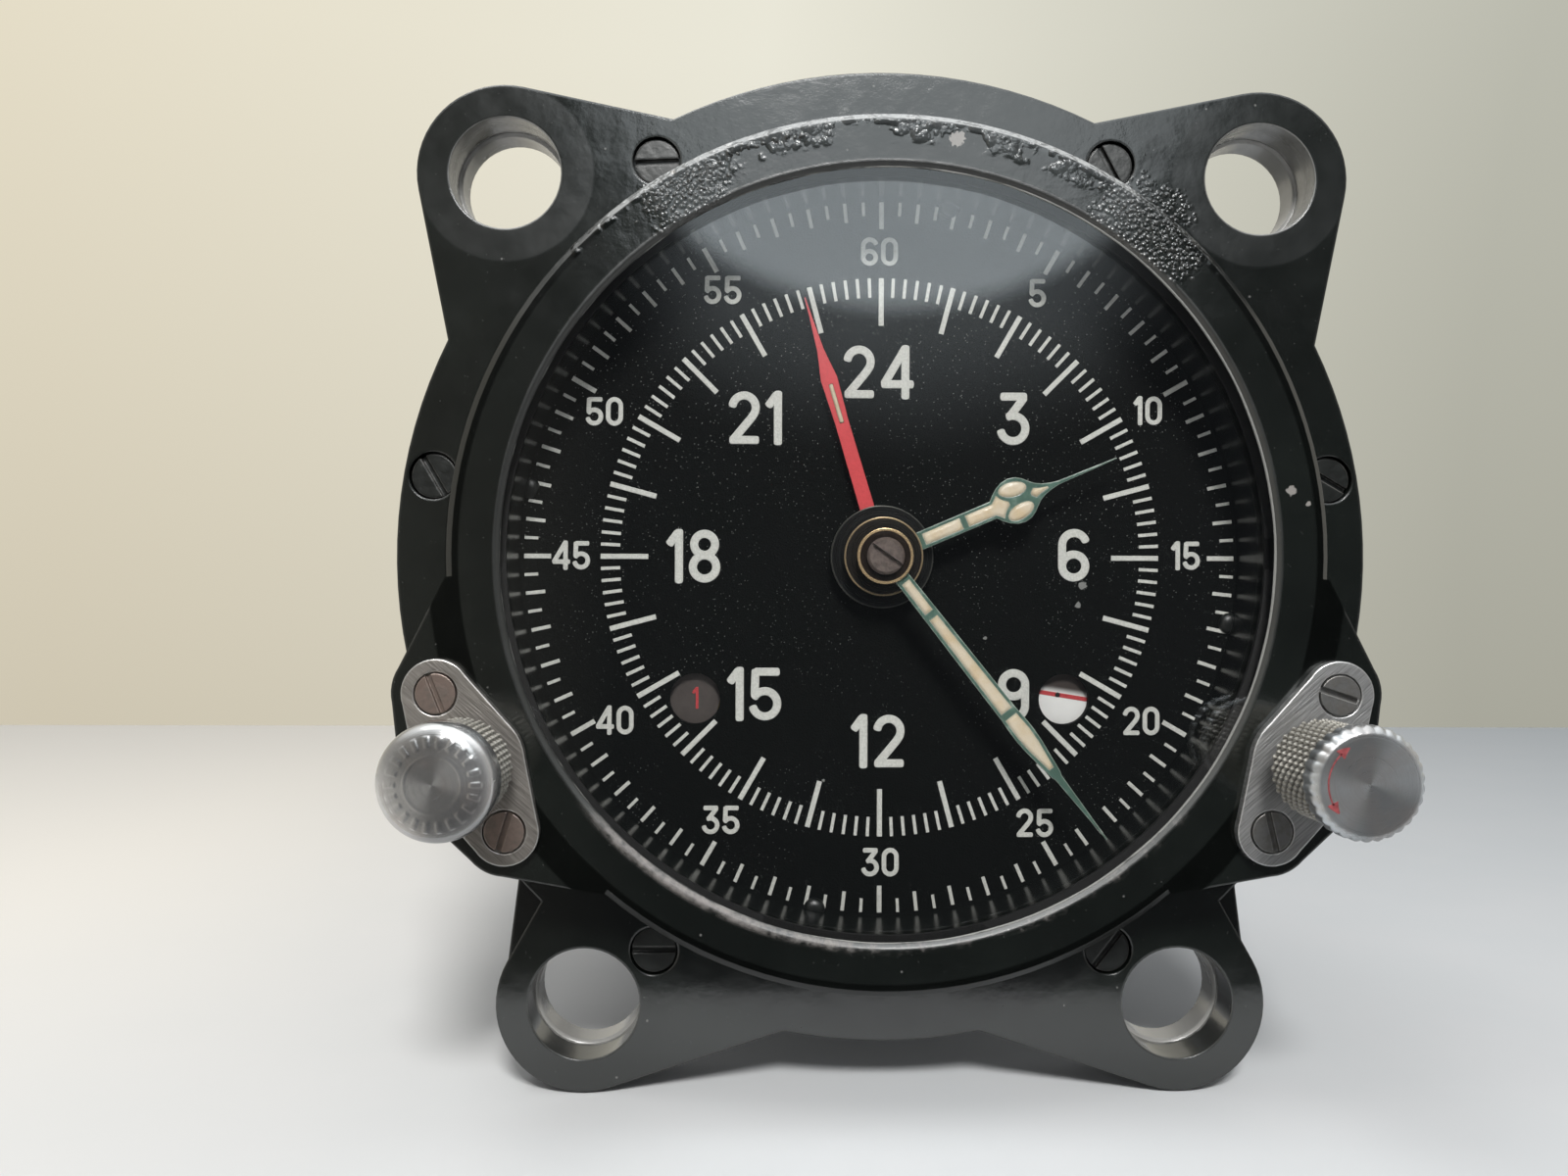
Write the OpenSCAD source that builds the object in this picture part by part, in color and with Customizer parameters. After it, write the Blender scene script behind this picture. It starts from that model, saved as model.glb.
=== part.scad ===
// Aircraft panel clock with a 24 hour dial, centre seconds and two indicator windows.
// Millimetres. The dial axis lies along Y, the face looks towards -Y, Z points up.
// The plane y = 0 is the rear face of the mounting lugs, where the clock seats on a panel.

/* [Case] */
// width of the flange outside the raised ring
flange_w = 6; // [5:0.1:8]
// thickness of the front casting at the flange
front_flange_t = 4.5; // [3:0.1:6]
// thickness of the rear casting at the lugs
rear_flange_t = 3.5; // [3:0.1:6]
// height of the raised bezel ring above the flange
rim_h = 7; // [6.6:0.1:8]
// wall of the raised ring at its foot
rim_wall = 3.9; // [3.5:0.1:5]
// draft of the raised ring from foot to face
rim_draft = 0.7; // [0.2:0.1:1]
// bevel at the raised ring's outer edge
rim_bevel = 0.7; // [0.2:0.1:1]
// bevel around the glass opening
sight_bevel = 0.4; // [0.2:0.1:0.4]
// thickness of the lip that holds the glass
lip_t = 0.5; // [0.5:0.1:0.8]
// gap between the movement's widest wheel and the case barrel
can_gap = 4.06; // [3.8:0.02:5]
// wall of the case barrel
can_wall = 3.6; // [3.2:0.1:4]
// length of the case barrel behind the lugs
can_len = 46; // [43:0.5:55]
// thickness of the rear cover
cover_t = 2.5; // [2:0.1:4]
// bevel of the rear cover's edge
cover_bevel = 0.5; // [0.3:0.1:1.2]
// height of the rear cover's spigot
spigot_h = 1.5; // [1:0.1:2.5]

/* [Lugs] */
// distance of the lug bores outside the flange
lug_out = 5.5; // [5:0.1:7]
// end radius of a lug
lug_r = 9.1; // [8.5:0.1:10]
// radius of the lug bore in the front casting
lug_front_bore_r = 5.8; // [5.7:0.1:6.5]
// radius of the lug bore in the rear casting
lug_rear_bore_r = 5.5; // [4.5:0.1:5.6]
// bevel at the front of the rear lug bore
lug_bore_bevel = 0.3; // [0.1:0.1:0.5]
// angle of the upper lugs above the horizontal
upper_lug_deg = 45.2; // [42:0.1:48]
// angle of the lower lugs below the horizontal
lower_lug_deg = 56.4; // [54:0.1:58]
// half angle of an upper lug's root on the flange
upper_root_deg = 19; // [17:0.5:21]
// angle from a lower lug to its root on the knob side
lower_outer_root_deg = 11; // [10:0.5:13]
// angle from a lower lug to its root at the bottom
lower_inner_root_deg = 22; // [19:0.5:24]

/* [Glass and dial] */
// thickness of the glass
glass_t = 2; // [1.5:0.1:2.4]
// width of the lip over the glass
glass_lap = 1.9; // [1.2:0.1:2.4]
// thickness of the glass gasket
gasket_t = 0.4; // [0.3:0.1:0.8]
// height of the black wall between dial and glass
wall_h = 7.1; // [6.8:0.1:8]
// thickness of the black wall
wall_t = 2.1; // [1.8:0.1:2.6]
// width of the ledge that the dial plate rests on
dial_lap = 1.6; // [1.2:0.1:2]
// width of the dial plate outside the glass
dial_ledge = 1.7; // [1.4:0.1:2]
// thickness of the dial plate
dial_t = 0.8; // [0.5:0.1:1]
// radius of the two indicator windows
window_r = 2.7; // [2:0.1:2.8]
// sideways distance of the windows from the dial axis
window_x = 19.7; // [19:0.1:20.5]
// depth of the windows below the dial axis
window_drop = 15.1; // [14.5:0.1:15.5]
// radius of the hole for the hands
hand_hole_r = 2.4; // [2.2:0.1:4]

/* [Hands] */
// length of the hour hand
hour_len = 26.4; // [22:0.1:28]
// gap between the minute hand's tip and the black wall
minute_gap = 1.2; // [0.8:0.1:4]
// length of the sweep second hand
second_len = 28.5; // [27:0.1:32]
// thickness of a hand
hand_t = 0.4; // [0.3:0.05:0.5]
// clockwise angle of the hour hand from 12
hour_deg = 66.9; // [0:0.1:360]
// clockwise angle of the minute hand from 12
minute_deg = 141.7; // [0:0.1:360]
// clockwise angle of the second hand from 12
second_deg = 343.3; // [0:0.1:360]
// radius of the second hand's hub
second_hub_r = 5.4; // [4.4:0.1:5.5]
// radius of the hour hand's hub
hour_hub_r = 4.1; // [3.4:0.1:4.3]
// radius of the minute hand's hub
minute_hub_r = 2.87; // [2.5:0.01:3.1]
// radius of the centre screw
hand_screw_r = 1.9; // [1.5:0.1:2.2]

/* [Knobs] */
// distance of the knob axes outside the raised ring's foot
knob_out = 1.3; // [1:0.1:1.8]
// angle of the knob axes below the horizontal
knob_deg = 26.5; // [25:0.1:28]
// radius of a knob boss about the knob axis
boss_r = 7.2; // [7:0.1:8]
// radius of a knob boss at the plate's ends
boss_end_r = 4.6; // [4.5:0.1:5.2]
// half distance between the screws of a knob plate
plate_pitch = 7.5; // [7:0.1:8]
// half width of a knob plate at the middle
plate_r = 5.3; // [5:0.1:5.8]
// end radius of a knob plate
plate_end_r = 3.35; // [3.2:0.05:4]
// thickness of a knob plate
plate_t = 1; // [0.8:0.1:1.4]
// radius of the knurled knob bodies
knob_r = 4.8; // [4.4:0.1:5.4]
// length of the knurled knob bodies
knob_len = 8; // [6:0.1:9]
// gap between a knob and its plate
knob_gap = 2.6; // [2.5:0.1:3.5]
// radius of the rounded cap on the winding knob
winding_cap_r = 5.35; // [5:0.05:6]
// height of the rounded cap
winding_cap_h = 2.9; // [2.2:0.1:3.5]
// radius of the scalloped cap on the reset knob
reset_cap_r = 5.2; // [5:0.1:5.8]
// height of the scalloped cap
reset_cap_h = 2.2; // [1.8:0.1:3]
// number of scallops round the reset cap
scallops = 30; // [20:1:36]
// radius of the knob stems
stem_r = 1.6; // [1.3:0.1:1.8]
// outside radius of the sliding sleeve of the winding stem
sleeve_r = 2.8; // [2.6:0.1:3]
// pull of the winding knob
pull = 2; // [1.5:0.1:2]

/* [Screws] */
// distance of the frame screws outside the raised ring's foot
frame_screw_out = 3; // [2.8:0.1:3.4]
// head radius of a frame screw
frame_screw_head_r = 2.3; // [2:0.1:2.4]
// depth of a frame screw's head below the flange
frame_screw_sink = 0.4; // [0.2:0.1:0.8]
// head radius of a knob plate screw
plate_screw_head_r = 1.95; // [1.7:0.05:2.2]
// height of a plate screw's head
plate_screw_head_h = 0.7; // [0.6:0.05:0.8]
// part of a plate screw's head that stands above its plate
plate_screw_proud = 0.1; // [0.05:0.05:0.3]
// head radius of a cover screw
cover_screw_head_r = 1.7; // [1.4:0.1:1.8]
// width of a screwdriver slot
slot_w = 0.6; // [0.4:0.05:0.8]
// depth of a screwdriver slot
slot_d = 0.5; // [0.3:0.05:0.6]

/* [Movement] */
// thickness of the front plate
front_plate_t = 2.5; // [2:0.1:3]
// thickness of the back plate
back_plate_t = 2.5; // [2:0.1:3]
// distance between the plates
plate_gap = 14.5; // [14:0.1:17]
// thickness of a wheel
wheel_t = 0.8; // [0.6:0.05:0.9]
// axial gap between neighbouring wheels
tier_gap = 0.6; // [0.5:0.05:0.8]
// radial running clearance
fit = 0.05; // [0.03:0.01:0.08]
// pivot radius of the small arbors
pivot_r = 0.45; // [0.35:0.05:0.55]
// tooth module of the sweep seconds gearing
sweep_module = 0.34; // [0.33:0.005:0.35]
// tooth module of the barrel gearing
barrel_module = 0.4; // [0.39:0.005:0.41]
// tooth module of the hour gearing
hour_module = 0.3; // [0.29:0.005:0.31]
// tooth module of the winding gearing
winding_module = 0.5; // [0.49:0.005:0.51]
// direction of the third wheel from the dial axis
third_dir = 45; // [40:1:50]
// direction of the fourth wheel from the third wheel
fourth_dir = -70; // [-74:1:-66]
// radius of the balance wheel
balance_r = 9; // [8:0.1:10]
// height of the barrel drum
barrel_h = 8; // [7:0.1:9]

/* [Hidden] */
$fn = 64;
// clearance between pieces that are only placed in each other
loose = 0.2;
// how far a straight flank starts inside the round end that it joins
seam = 0.03;
// radii of the case, from the movement's widest wheel outwards
n_centre_pin = 12;
n_barrel = 84;
d_barrel = (n_centre_pin + n_barrel) * barrel_module / 2;
barrel_reach = d_barrel + (n_barrel / 2 + 0.85) * barrel_module;
can_in_r = barrel_reach + can_gap;
can_r = can_in_r + can_wall;
dial_r = can_in_r + dial_lap;
glass_r = dial_r - dial_ledge;
sight_r = glass_r - glass_lap;
wall_in_r = glass_r - wall_t;
rim_r = glass_r + loose + rim_wall;
flange_r = rim_r + flange_w;
lug_circle_r = flange_r + lug_out;
frame_screw_circle_r = rim_r + frame_screw_out;
knob_circle_r = rim_r + knob_out;
minute_len = wall_in_r - minute_gap;
// stations along the axis, front to back
y_joint = -rear_flange_t;
y_flange = y_joint - front_flange_t;
y_rim = y_flange - rim_h;
y_glass = y_rim + lip_t;
y_gasket = y_glass + glass_t;
y_wall = y_gasket + gasket_t;
y_dial = y_wall + wall_h;
y_dial_back = y_dial + dial_t;
y_disc = y_dial_back + 0.4;
y_cock = y_disc + 0.2;
y_sweep = y_cock + 1 + tier_gap;
y_hour = y_sweep + wheel_t + tier_gap;
y_cannon = y_hour + wheel_t + tier_gap;
y_plate = y_cannon + wheel_t + tier_gap;
y_plate_back = y_plate + front_plate_t;
y_centre = y_plate_back + tier_gap;
y_third = y_centre + wheel_t + 1.5 * tier_gap;
y_fourth = y_third + wheel_t + 1.5 * tier_gap;
y_barrel = y_third;
y_back = y_plate_back + plate_gap;
y_back_end = y_back + back_plate_t;
y_escape = y_back_end + 1.2;
y_bridge = y_escape + 2;
y_balance = y_bridge + 2.2;
y_spring = y_balance + 2;
y_balance_cock = y_spring + 1.6;
y_can = can_len;
// hands in front of the dial
y_second = y_dial - 1.6;
y_hour_hand = y_second - 1.9;
y_minute_hand = y_hour_hand - 1.7;
// knobs
y_plate_front = y_rim - plate_t;
y_plate_seat = y_plate_front - plate_screw_proud + plate_screw_head_h;
y_knob = y_plate_front - knob_gap;
y_cap = y_knob - knob_len;
knob_l = knob_circle_r * [-cos(knob_deg), -sin(knob_deg)];
knob_rt = knob_circle_r * [cos(knob_deg), -sin(knob_deg)];
bush_r = 4.2;
pocket_r = 5.5;
// pipes of the hands, inside out
centre_r = 0.5;
cannon_in = centre_r;
cannon_out = 0.8;
hour_in = cannon_out + fit;
hour_out = hour_in + 0.3;
sweep_in = hour_out + fit;
sweep_out = sweep_in + 0.35;
// tooth counts
n_sweep = 12;
n_third = 90;
n_third_pin = 10;
n_centre = 80;
n_third_b = 75;
n_fourth_pin = 10;
n_fourth = 100;
n_escape_pin = 10;
n_cannon = 12;
n_minute = 48;
n_minute_pin = 10;
n_hour = 60;
n_stem = 18;
n_winding = 44;
n_ratchet = 24;
// positions of the arbors, as [x, z]
d_third = (n_sweep + n_third) * sweep_module / 2;
centre_module = 2 * d_third / (n_third_pin + n_centre);
at_third = d_third * dir(third_dir);
d_fourth = (n_third_b + n_fourth_pin) * sweep_module / 2;
at_fourth = at_third + d_fourth * dir(fourth_dir);
at_escape = [window_x, -window_drop];
d_escape = norm(at_escape - at_fourth);
fourth_module = 2 * d_escape / (n_fourth + n_escape_pin);
d_minute = (n_minute_pin + n_hour) * hour_module / 2;
minute_module = 2 * d_minute / (n_cannon + n_minute);
minute_dir = -90;
at_minute = d_minute * dir(minute_dir);
d_stem = (n_stem + n_winding) * winding_module / 2;
winding_dir = 180 + knob_deg;
r_winding = knob_circle_r - d_stem;
at_winding = r_winding * dir(winding_dir);
d_ratchet = (n_winding + n_ratchet) * winding_module / 2;
barrel_dir = winding_dir - acos((pow(d_barrel, 2) + pow(r_winding, 2) - pow(d_ratchet, 2)) / (2 * d_barrel * r_winding));
at_barrel = d_barrel * dir(barrel_dir);
barrel_r = d_barrel - n_centre_pin * barrel_module / 2 - 1.6;
pallet_dir = 215;
at_pallet = at_escape + 8.4 * dir(pallet_dir);
at_balance = at_pallet + 9.6 * dir(pallet_dir);
at_post = (can_in_r - 9.4) * dir(-8);
// the stop lever turns through lever_deg to stand just short of the run disc
run_disc_r = 3.4;
lever_deg = 20;
lever_len = norm(at_escape - knob_rt) - run_disc_r - 1.4;
at_click = at_barrel + 11.4 * dir(120);
spring_end_r = 5.12;
at_window = [-window_x, -window_drop];
disc_r = norm(at_window - at_winding) + window_r - 0.1;
// phases of the wheels
third_phase = mesh(0, n_sweep, n_third, third_dir);
centre_phase = mesh(0, n_third_pin, n_centre, third_dir + 180);
fourth_pin_phase = mesh(0, n_third_b, n_fourth_pin, fourth_dir);
escape_pin_phase = mesh(0, n_fourth, n_escape_pin, heading(at_fourth, at_escape));
barrel_phase = mesh(0, n_centre_pin, n_barrel, barrel_dir);
minute_phase = mesh(0, n_cannon, n_minute, minute_dir);
hour_phase = mesh(0, n_minute_pin, n_hour, minute_dir + 180);
winding_phase = mesh(0, n_stem, n_winding, heading(knob_l, at_winding));
ratchet_phase = mesh(winding_phase, n_winding, n_ratchet, heading(at_winding, at_barrel));
// colours
black = [0.06, 0.06, 0.065];
steel = [0.62, 0.63, 0.65];
brass = [0.78, 0.62, 0.3];
alu = [0.74, 0.74, 0.72];
lume = [0.86, 0.8, 0.66];
// screws round the frame, the cover and the movement, as directions
frame_screw_dirs = [10, 60, 120, 170, 240, 300];
frame_screw_slots = [30, 62, -3, 60, 0, -52];
plate_screw_slots = [[68, 107], [77, 18]];
cover_screw_dirs = [45, 135, 225, 315];
case_screw_dirs = [70, 140, 270];
pillar_dirs = [20, 110, 235, 315];
case_boss_at = can_in_r - 2.4;
pillar_at = can_in_r - 5.8;
back_plate_r = can_in_r - 2.8;

function dir(a) = [cos(a), sin(a)];
function heading(a, b) = atan2(b[1] - a[1], b[0] - a[0]);
// phase of wheel b so that it meshes with wheel a, which has a tooth at pa; b lies in direction t
function mesh(pa, na, nb, t) = t + 180 + (180 - (pa - t) * na) / nb;
// touching point on a circle of radius r about c for the line from p, on the side s
function touch(p, c, r, s) =
  p + sqrt(pow(norm(c - p), 2) - r * r) * dir(heading(p, c) + s * asin(r / norm(c - p)));
function hand_dir(a) = 90 - a;

// a flat outline drawn as seen from the front, thick from y = a to y = b
module slab(a, b) {
  translate([0, b, 0])
    rotate([90, 0, 0])
      linear_extrude(b - a)
        children();
}

// a round rod along the axis at p
module rod(p, r, a, b) {
  translate([p[0], b, p[1]])
    rotate([90, 0, 0])
      cylinder(r = r, h = b - a);
}

// a turned shape about the axis at p; points are [radius, y]
module turned(p, points) {
  translate([p[0], 0, p[1]])
    rotate([-90, 0, 0])
      rotate_extrude()
        polygon(points);
}

// straight flanks between two round ends
module flanks(p, r, q, s) {
  t = heading(p, q);
  w = acos((r - s) / norm(q - p));
  a = r - seam;
  b = s - seam;
  polygon([p + a * dir(t + w), q + b * dir(t + w), q + b * dir(t - w), p + a * dir(t - w)]);
}

// two circles joined by their flanks
module link(p, r, q, s) {
  translate(p)
    circle(r);
  translate(q)
    circle(s);
  flanks(p, r, q, s);
}

// a flat arm with two round ends, thick from y = a to y = b
module arm(p, r, q, s, a, b) {
  rod(p, r, a, b);
  rod(q, s, a, b);
  slab(a, b)
    flanks(p, r, q, s);
}

// a straight bar from p to q, w wide to each side
module bar(p, q, w) {
  side = w * dir(heading(p, q) + 90);
  polygon([p + side, q + side, q - side, p - side]);
}

// toothed outline with a tooth at the angle phase
module teeth(n, m, phase, share = 0.4) {
  r = n * m / 2;
  h = 180 / n * share;
  rows = [[r - 1.2 * m, -h], [r, -h], [r + 0.85 * m, -0.45 * h], [r + 0.85 * m, 0.45 * h], [r, h], [r - 1.2 * m, h]];
  polygon([for (i = [0:n - 1]) for (k = rows) k[0] * dir(phase + i * 360 / n + k[1])]);
}

// wheel with a rim, a hub and spokes
module wheel(p, n, m, phase, hub, a, b, spokes = 5) {
  r = n * m / 2 - 1.2 * m;
  slab(a, b)
    translate(p) {
      difference() {
        teeth(n, m, phase, 0.42);
        circle(r - 1.4);
      }
      circle(hub);
      for (i = [0:spokes - 1])
        rotate(phase + i * 360 / spokes)
          translate([0, -0.7])
            square([r - 1, 1.4]);
    }
}

module pinion(p, n, m, phase, a, b) {
  slab(a, b)
    translate(p)
      teeth(n, m, phase);
}

// slotted screw at p, its head from y = a, head height h, shank down to y = b
module screw(p, head, h, shank, a, b, slot_deg = 0) {
  difference() {
    union() {
      rod(p, head, a, a + h);
      rod(p, shank, a + h, b);
    }
    translate([p[0], a, p[1]])
      rotate([0, slot_deg, 0])
        cube([3 * head, 2 * slot_d, slot_w], center = true);
  }
}

// outline of one lug; roots lie just inside the flange's edge at the angles a + u and a - v
module lug_outline(a, u, v) {
  c = lug_circle_r * dir(a);
  p = (flange_r - seam) * dir(a + u);
  q = (flange_r - seam) * dir(a - v);
  translate(c)
    circle(lug_r);
  polygon([[0, 0], q, touch(q, c, lug_r, -1), c, touch(p, c, lug_r, 1), p]);
}

module lugs(outer_root) {
  lug_outline(upper_lug_deg, upper_root_deg, upper_root_deg);
  lug_outline(180 - upper_lug_deg, upper_root_deg, upper_root_deg);
  lug_outline(-lower_lug_deg, outer_root, lower_inner_root_deg);
  lug_outline(180 + lower_lug_deg, lower_inner_root_deg, outer_root);
}

module at_lugs() {
  for (a = [upper_lug_deg, 180 - upper_lug_deg, -lower_lug_deg, 180 + lower_lug_deg])
    translate(lug_circle_r * dir(a))
      children();
}

// raised boss under a knob plate, with its flanks running out on the ring
module boss_outline(k, grow = 0) {
  s = k[0] < 0 ? -1 : 1;
  t = dir(heading([0, 0], k) + 90);
  r = rim_r - rim_draft - seam + grow;
  for (e = [-1, 1])
    link(k, boss_r + grow, k + e * plate_pitch * t, boss_end_r + grow);
  p = k + plate_pitch * t;
  q = k - plate_pitch * t;
  u = r * dir(heading([0, 0], k) + 23.5);
  v = r * dir(heading([0, 0], k) - 23.5);
  polygon([[0, 0], v, touch(v, q, boss_end_r + grow - seam, -1), q, k, p, touch(u, p, boss_end_r + grow - seam, 1), u]);
}

module knob_plate(k, a, b) {
  t = dir(heading([0, 0], k) + 90);
  rod(k, plate_r, a, b);
  for (e = [-1, 1]) {
    rod(k + e * plate_pitch * t, plate_end_r, a, b);
    slab(a, b)
      flanks(k, plate_r, k + e * plate_pitch * t, plate_end_r);
  }
}

module plate_screw_holes(k, r, a, b) {
  t = dir(heading([0, 0], k) + 90);
  for (e = [-1, 1])
    rod(k + e * plate_pitch * t, r, a, b);
}

// middle of the room that the stop lever swings in
function lever_room() = knob_rt + 4 * dir(heading(knob_rt, at_escape) + lever_deg / 2);

// Case

module front_frame() {
  color(black)
    difference() {
      union() {
        slab(y_flange, y_joint) {
          circle(flange_r);
          lugs(lower_outer_root_deg);
          boss_outline(knob_l);
          boss_outline(knob_rt);
        }
        turned([0, 0], [[sight_r - 2, y_joint], [rim_r, y_joint], [rim_r, y_flange],
          [rim_r - rim_draft, y_rim + rim_bevel], [rim_r - rim_draft - rim_bevel, y_rim], [sight_r - 2, y_rim]]);
        slab(y_rim, y_flange) {
          boss_outline(knob_l);
          boss_outline(knob_rt);
        }
      }
      turned([0, 0], [[0, y_rim - 1], [sight_r + sight_bevel + 1, y_rim - 1], [sight_r, y_rim + sight_bevel],
        [sight_r, y_glass], [glass_r + loose, y_glass], [glass_r + loose, y_dial], [dial_r + loose, y_dial],
        [dial_r + loose, y_joint + 1], [0, y_joint + 1]]);
      slab(y_flange - 0.01, y_joint + 1)
        at_lugs()
          circle(lug_front_bore_r);
      for (a = frame_screw_dirs) {
        rod(frame_screw_circle_r * dir(a), frame_screw_head_r + loose, y_rim - 1, y_flange + frame_screw_sink + 1);
        rod(frame_screw_circle_r * dir(a), 1.3, y_flange, y_joint + 1);
      }
      for (k = [knob_l, knob_rt]) {
        rod(k, bush_r, y_rim - 1, y_joint);
        rod(k, pocket_r, y_disc - pull - 0.6, y_joint + 1);
        plate_screw_holes(k, 0.9, y_rim - 1, y_rim + 4);
      }
      rod(lever_room(), pocket_r, y_disc - 0.6, y_joint + 1);
    }
}

module rear_case() {
  color(black)
    difference() {
      union() {
        slab(y_joint, 0) {
          circle(flange_r);
          lugs(lower_outer_root_deg + 5);
          boss_outline(knob_l);
          boss_outline(knob_rt);
        }
        rod([0, 0], can_r, -1, y_can);
        rod([0, 0], dial_r, y_dial_back, y_joint + 0.5);
      }
      rod([0, 0], dial_r - 0.7, y_dial_back - 1, y_plate_back);
      difference() {
        rod([0, 0], can_in_r, y_plate_back - 0.5, y_can + 1);
        for (a = case_screw_dirs)
          rod(case_boss_at * dir(a), 3, y_plate_back, y_plate_back + 8);
      }
      for (a = case_screw_dirs)
        rod(case_boss_at * dir(a), 0.9, y_plate_back - 1, y_plate_back + 6);
      slab(y_joint - 1, 1)
        at_lugs()
          circle(lug_rear_bore_r);
      for (a = [upper_lug_deg, 180 - upper_lug_deg, -lower_lug_deg, 180 + lower_lug_deg])
        turned(lug_circle_r * dir(a), [[0, y_joint - 1], [lug_rear_bore_r + lug_bore_bevel + 1, y_joint - 1],
          [lug_rear_bore_r, y_joint + lug_bore_bevel], [0, y_joint + lug_bore_bevel]]);
      for (a = frame_screw_dirs)
        rod(frame_screw_circle_r * dir(a), 1, y_joint - 1, -0.8);
      for (k = [knob_l, knob_rt])
        rod(k, pocket_r, y_dial_back - 1, -1);
      rod(lever_room(), pocket_r, y_disc - 0.6, -1);
      for (a = cover_screw_dirs)
        rod((can_r - can_wall / 2) * dir(a), 0.9, y_can - 6, y_can + 1);
    }
}

module rear_cover() {
  color(black)
    difference() {
      turned([0, 0], [[0, y_can], [can_in_r - loose - 2, y_can], [can_in_r - loose - 2, y_can - spigot_h],
        [can_in_r - loose, y_can - spigot_h], [can_in_r - loose, y_can], [can_r, y_can],
        [can_r, y_can + cover_t - cover_bevel], [can_r - cover_bevel, y_can + cover_t], [0, y_can + cover_t]]);
      for (a = cover_screw_dirs)
        rod((can_r - can_wall / 2) * dir(a), 1, y_can - 1, y_can + cover_t + 1);
    }
}

module cover_screws() {
  color(steel)
    for (a = cover_screw_dirs)
      mirror([0, 1, 0])
        screw((can_r - can_wall / 2) * dir(a), cover_screw_head_r, 1.2, 0.9, -y_can - cover_t - 1.2, -y_can + 4, a);
}

module frame_screws() {
  color(black)
    for (i = [0:5])
      screw(frame_screw_circle_r * dir(frame_screw_dirs[i]), frame_screw_head_r, 1, 1,
        y_flange + frame_screw_sink, -1, frame_screw_slots[i]);
}

// Glass and dial

module glass() {
  color([0.8, 0.85, 0.85, 0.25])
    rod([0, 0], glass_r, y_glass, y_gasket);
}

module glass_gasket() {
  color([0.12, 0.12, 0.12])
    turned([0, 0], [[wall_in_r, y_gasket], [glass_r, y_gasket], [glass_r, y_wall], [wall_in_r, y_wall]]);
}

module dial_wall() {
  color(black)
    turned([0, 0], [[wall_in_r, y_wall], [glass_r, y_wall], [glass_r, y_dial], [wall_in_r, y_dial]]);
}

module dial() {
  color([0.09, 0.09, 0.09])
    difference() {
      rod([0, 0], dial_r, y_dial, y_dial_back);
      rod([0, 0], hand_hole_r, y_dial - 1, y_dial_back + 1);
      for (s = [-1, 1])
        rod([s * window_x, -window_drop], window_r, y_dial - 1, y_dial_back + 1);
      for (k = [knob_l, knob_rt])
        rod(k, pocket_r, y_dial - 1, y_dial_back + 1);
    }
}

// Knobs

module winding_plate() {
  color(alu)
    difference() {
      union() {
        knob_plate(knob_l, y_plate_front, y_rim);
      }
      rod(knob_l, sleeve_r + loose, y_plate_front - 1, y_rim + 1);
      plate_screw_holes(knob_l, 1.1, y_plate_front - 1, y_rim + 1);
      plate_screw_holes(knob_l, plate_screw_head_r + loose, y_plate_front - 1, y_plate_seat);
    }
}

module reset_plate() {
  color(alu)
    difference() {
      union() {
        knob_plate(knob_rt, y_plate_front, y_rim);
      }
      rod(knob_rt, stem_r + loose, y_plate_front - 1, y_rim + 1);
      plate_screw_holes(knob_rt, 1.1, y_plate_front - 1, y_rim + 1);
      plate_screw_holes(knob_rt, plate_screw_head_r + loose, y_plate_front - 1, y_plate_seat);
    }
}

module plate_screws() {
  color(steel)
    for (i = [0, 1], j = [0, 1]) {
      k = [knob_l, knob_rt][i];
      along = plate_pitch * dir(heading([0, 0], k) + 90);
      screw(k + (2 * j - 1) * along, plate_screw_head_r, plate_screw_head_h, 0.9,
        y_plate_front - plate_screw_proud, y_rim + 3.6, plate_screw_slots[i][j]);
    }
}

module winding_bush() {
  color(brass)
    turned(knob_l, [[sleeve_r + fit, y_rim], [bush_r, y_rim], [bush_r, y_disc - pull - 0.6], [sleeve_r + fit, y_disc - pull - 0.6]]);
}

module reset_bush() {
  color(brass)
    turned(knob_rt, [[stem_r + fit, y_rim], [bush_r, y_rim], [bush_r, y_disc - pull - 0.6], [stem_r + fit, y_disc - pull - 0.6]]);
}

module winding_sleeve() {
  color(steel)
    turned(knob_l, [[stem_r + fit, y_knob + 0.1], [sleeve_r, y_knob + 0.1],
      [sleeve_r, y_disc - pull - 1], [stem_r + fit, y_disc - pull - 1]]);
}

module winding_knob() {
  color(alu)
    difference() {
      turned(knob_l, [[0, y_cap], [knob_r - 0.35, y_cap], [knob_r, y_cap + 0.35], [knob_r, y_knob - 0.5],
        [knob_r - 0.5, y_knob], [0, y_knob]]);
      rod(knob_l, stem_r, y_cap + 1.5, y_knob + 1);
    }
}

module winding_cap() {
  round_off = 2 / 3.2;
  color(alu)
    turned(knob_l, concat([for (a = [0:9:90]) [winding_cap_r * pow(sin(a), round_off),
      y_cap - winding_cap_h * pow(cos(a), round_off)]], [[0, y_cap]]));
}

module winding_stem() {
  color(steel) {
    rod(knob_l, stem_r, y_cap + 1.5, y_disc + 0.1);
    rod(knob_l, sleeve_r - 0.3, y_disc - pull - 1 + fit, y_disc - 0.2);
    pinion(knob_l, n_stem, winding_module, 0, y_disc, y_disc + 1);
  }
}

module reset_knob() {
  color(alu)
    difference() {
      turned(knob_rt, [[0, y_cap], [knob_r - 0.35, y_cap], [knob_r, y_cap + 0.35], [knob_r, y_knob - 0.5],
        [knob_r - 0.5, y_knob], [0, y_knob]]);
      rod(knob_rt, stem_r, y_cap + 1.5, y_knob + 1);
    }
}

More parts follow.
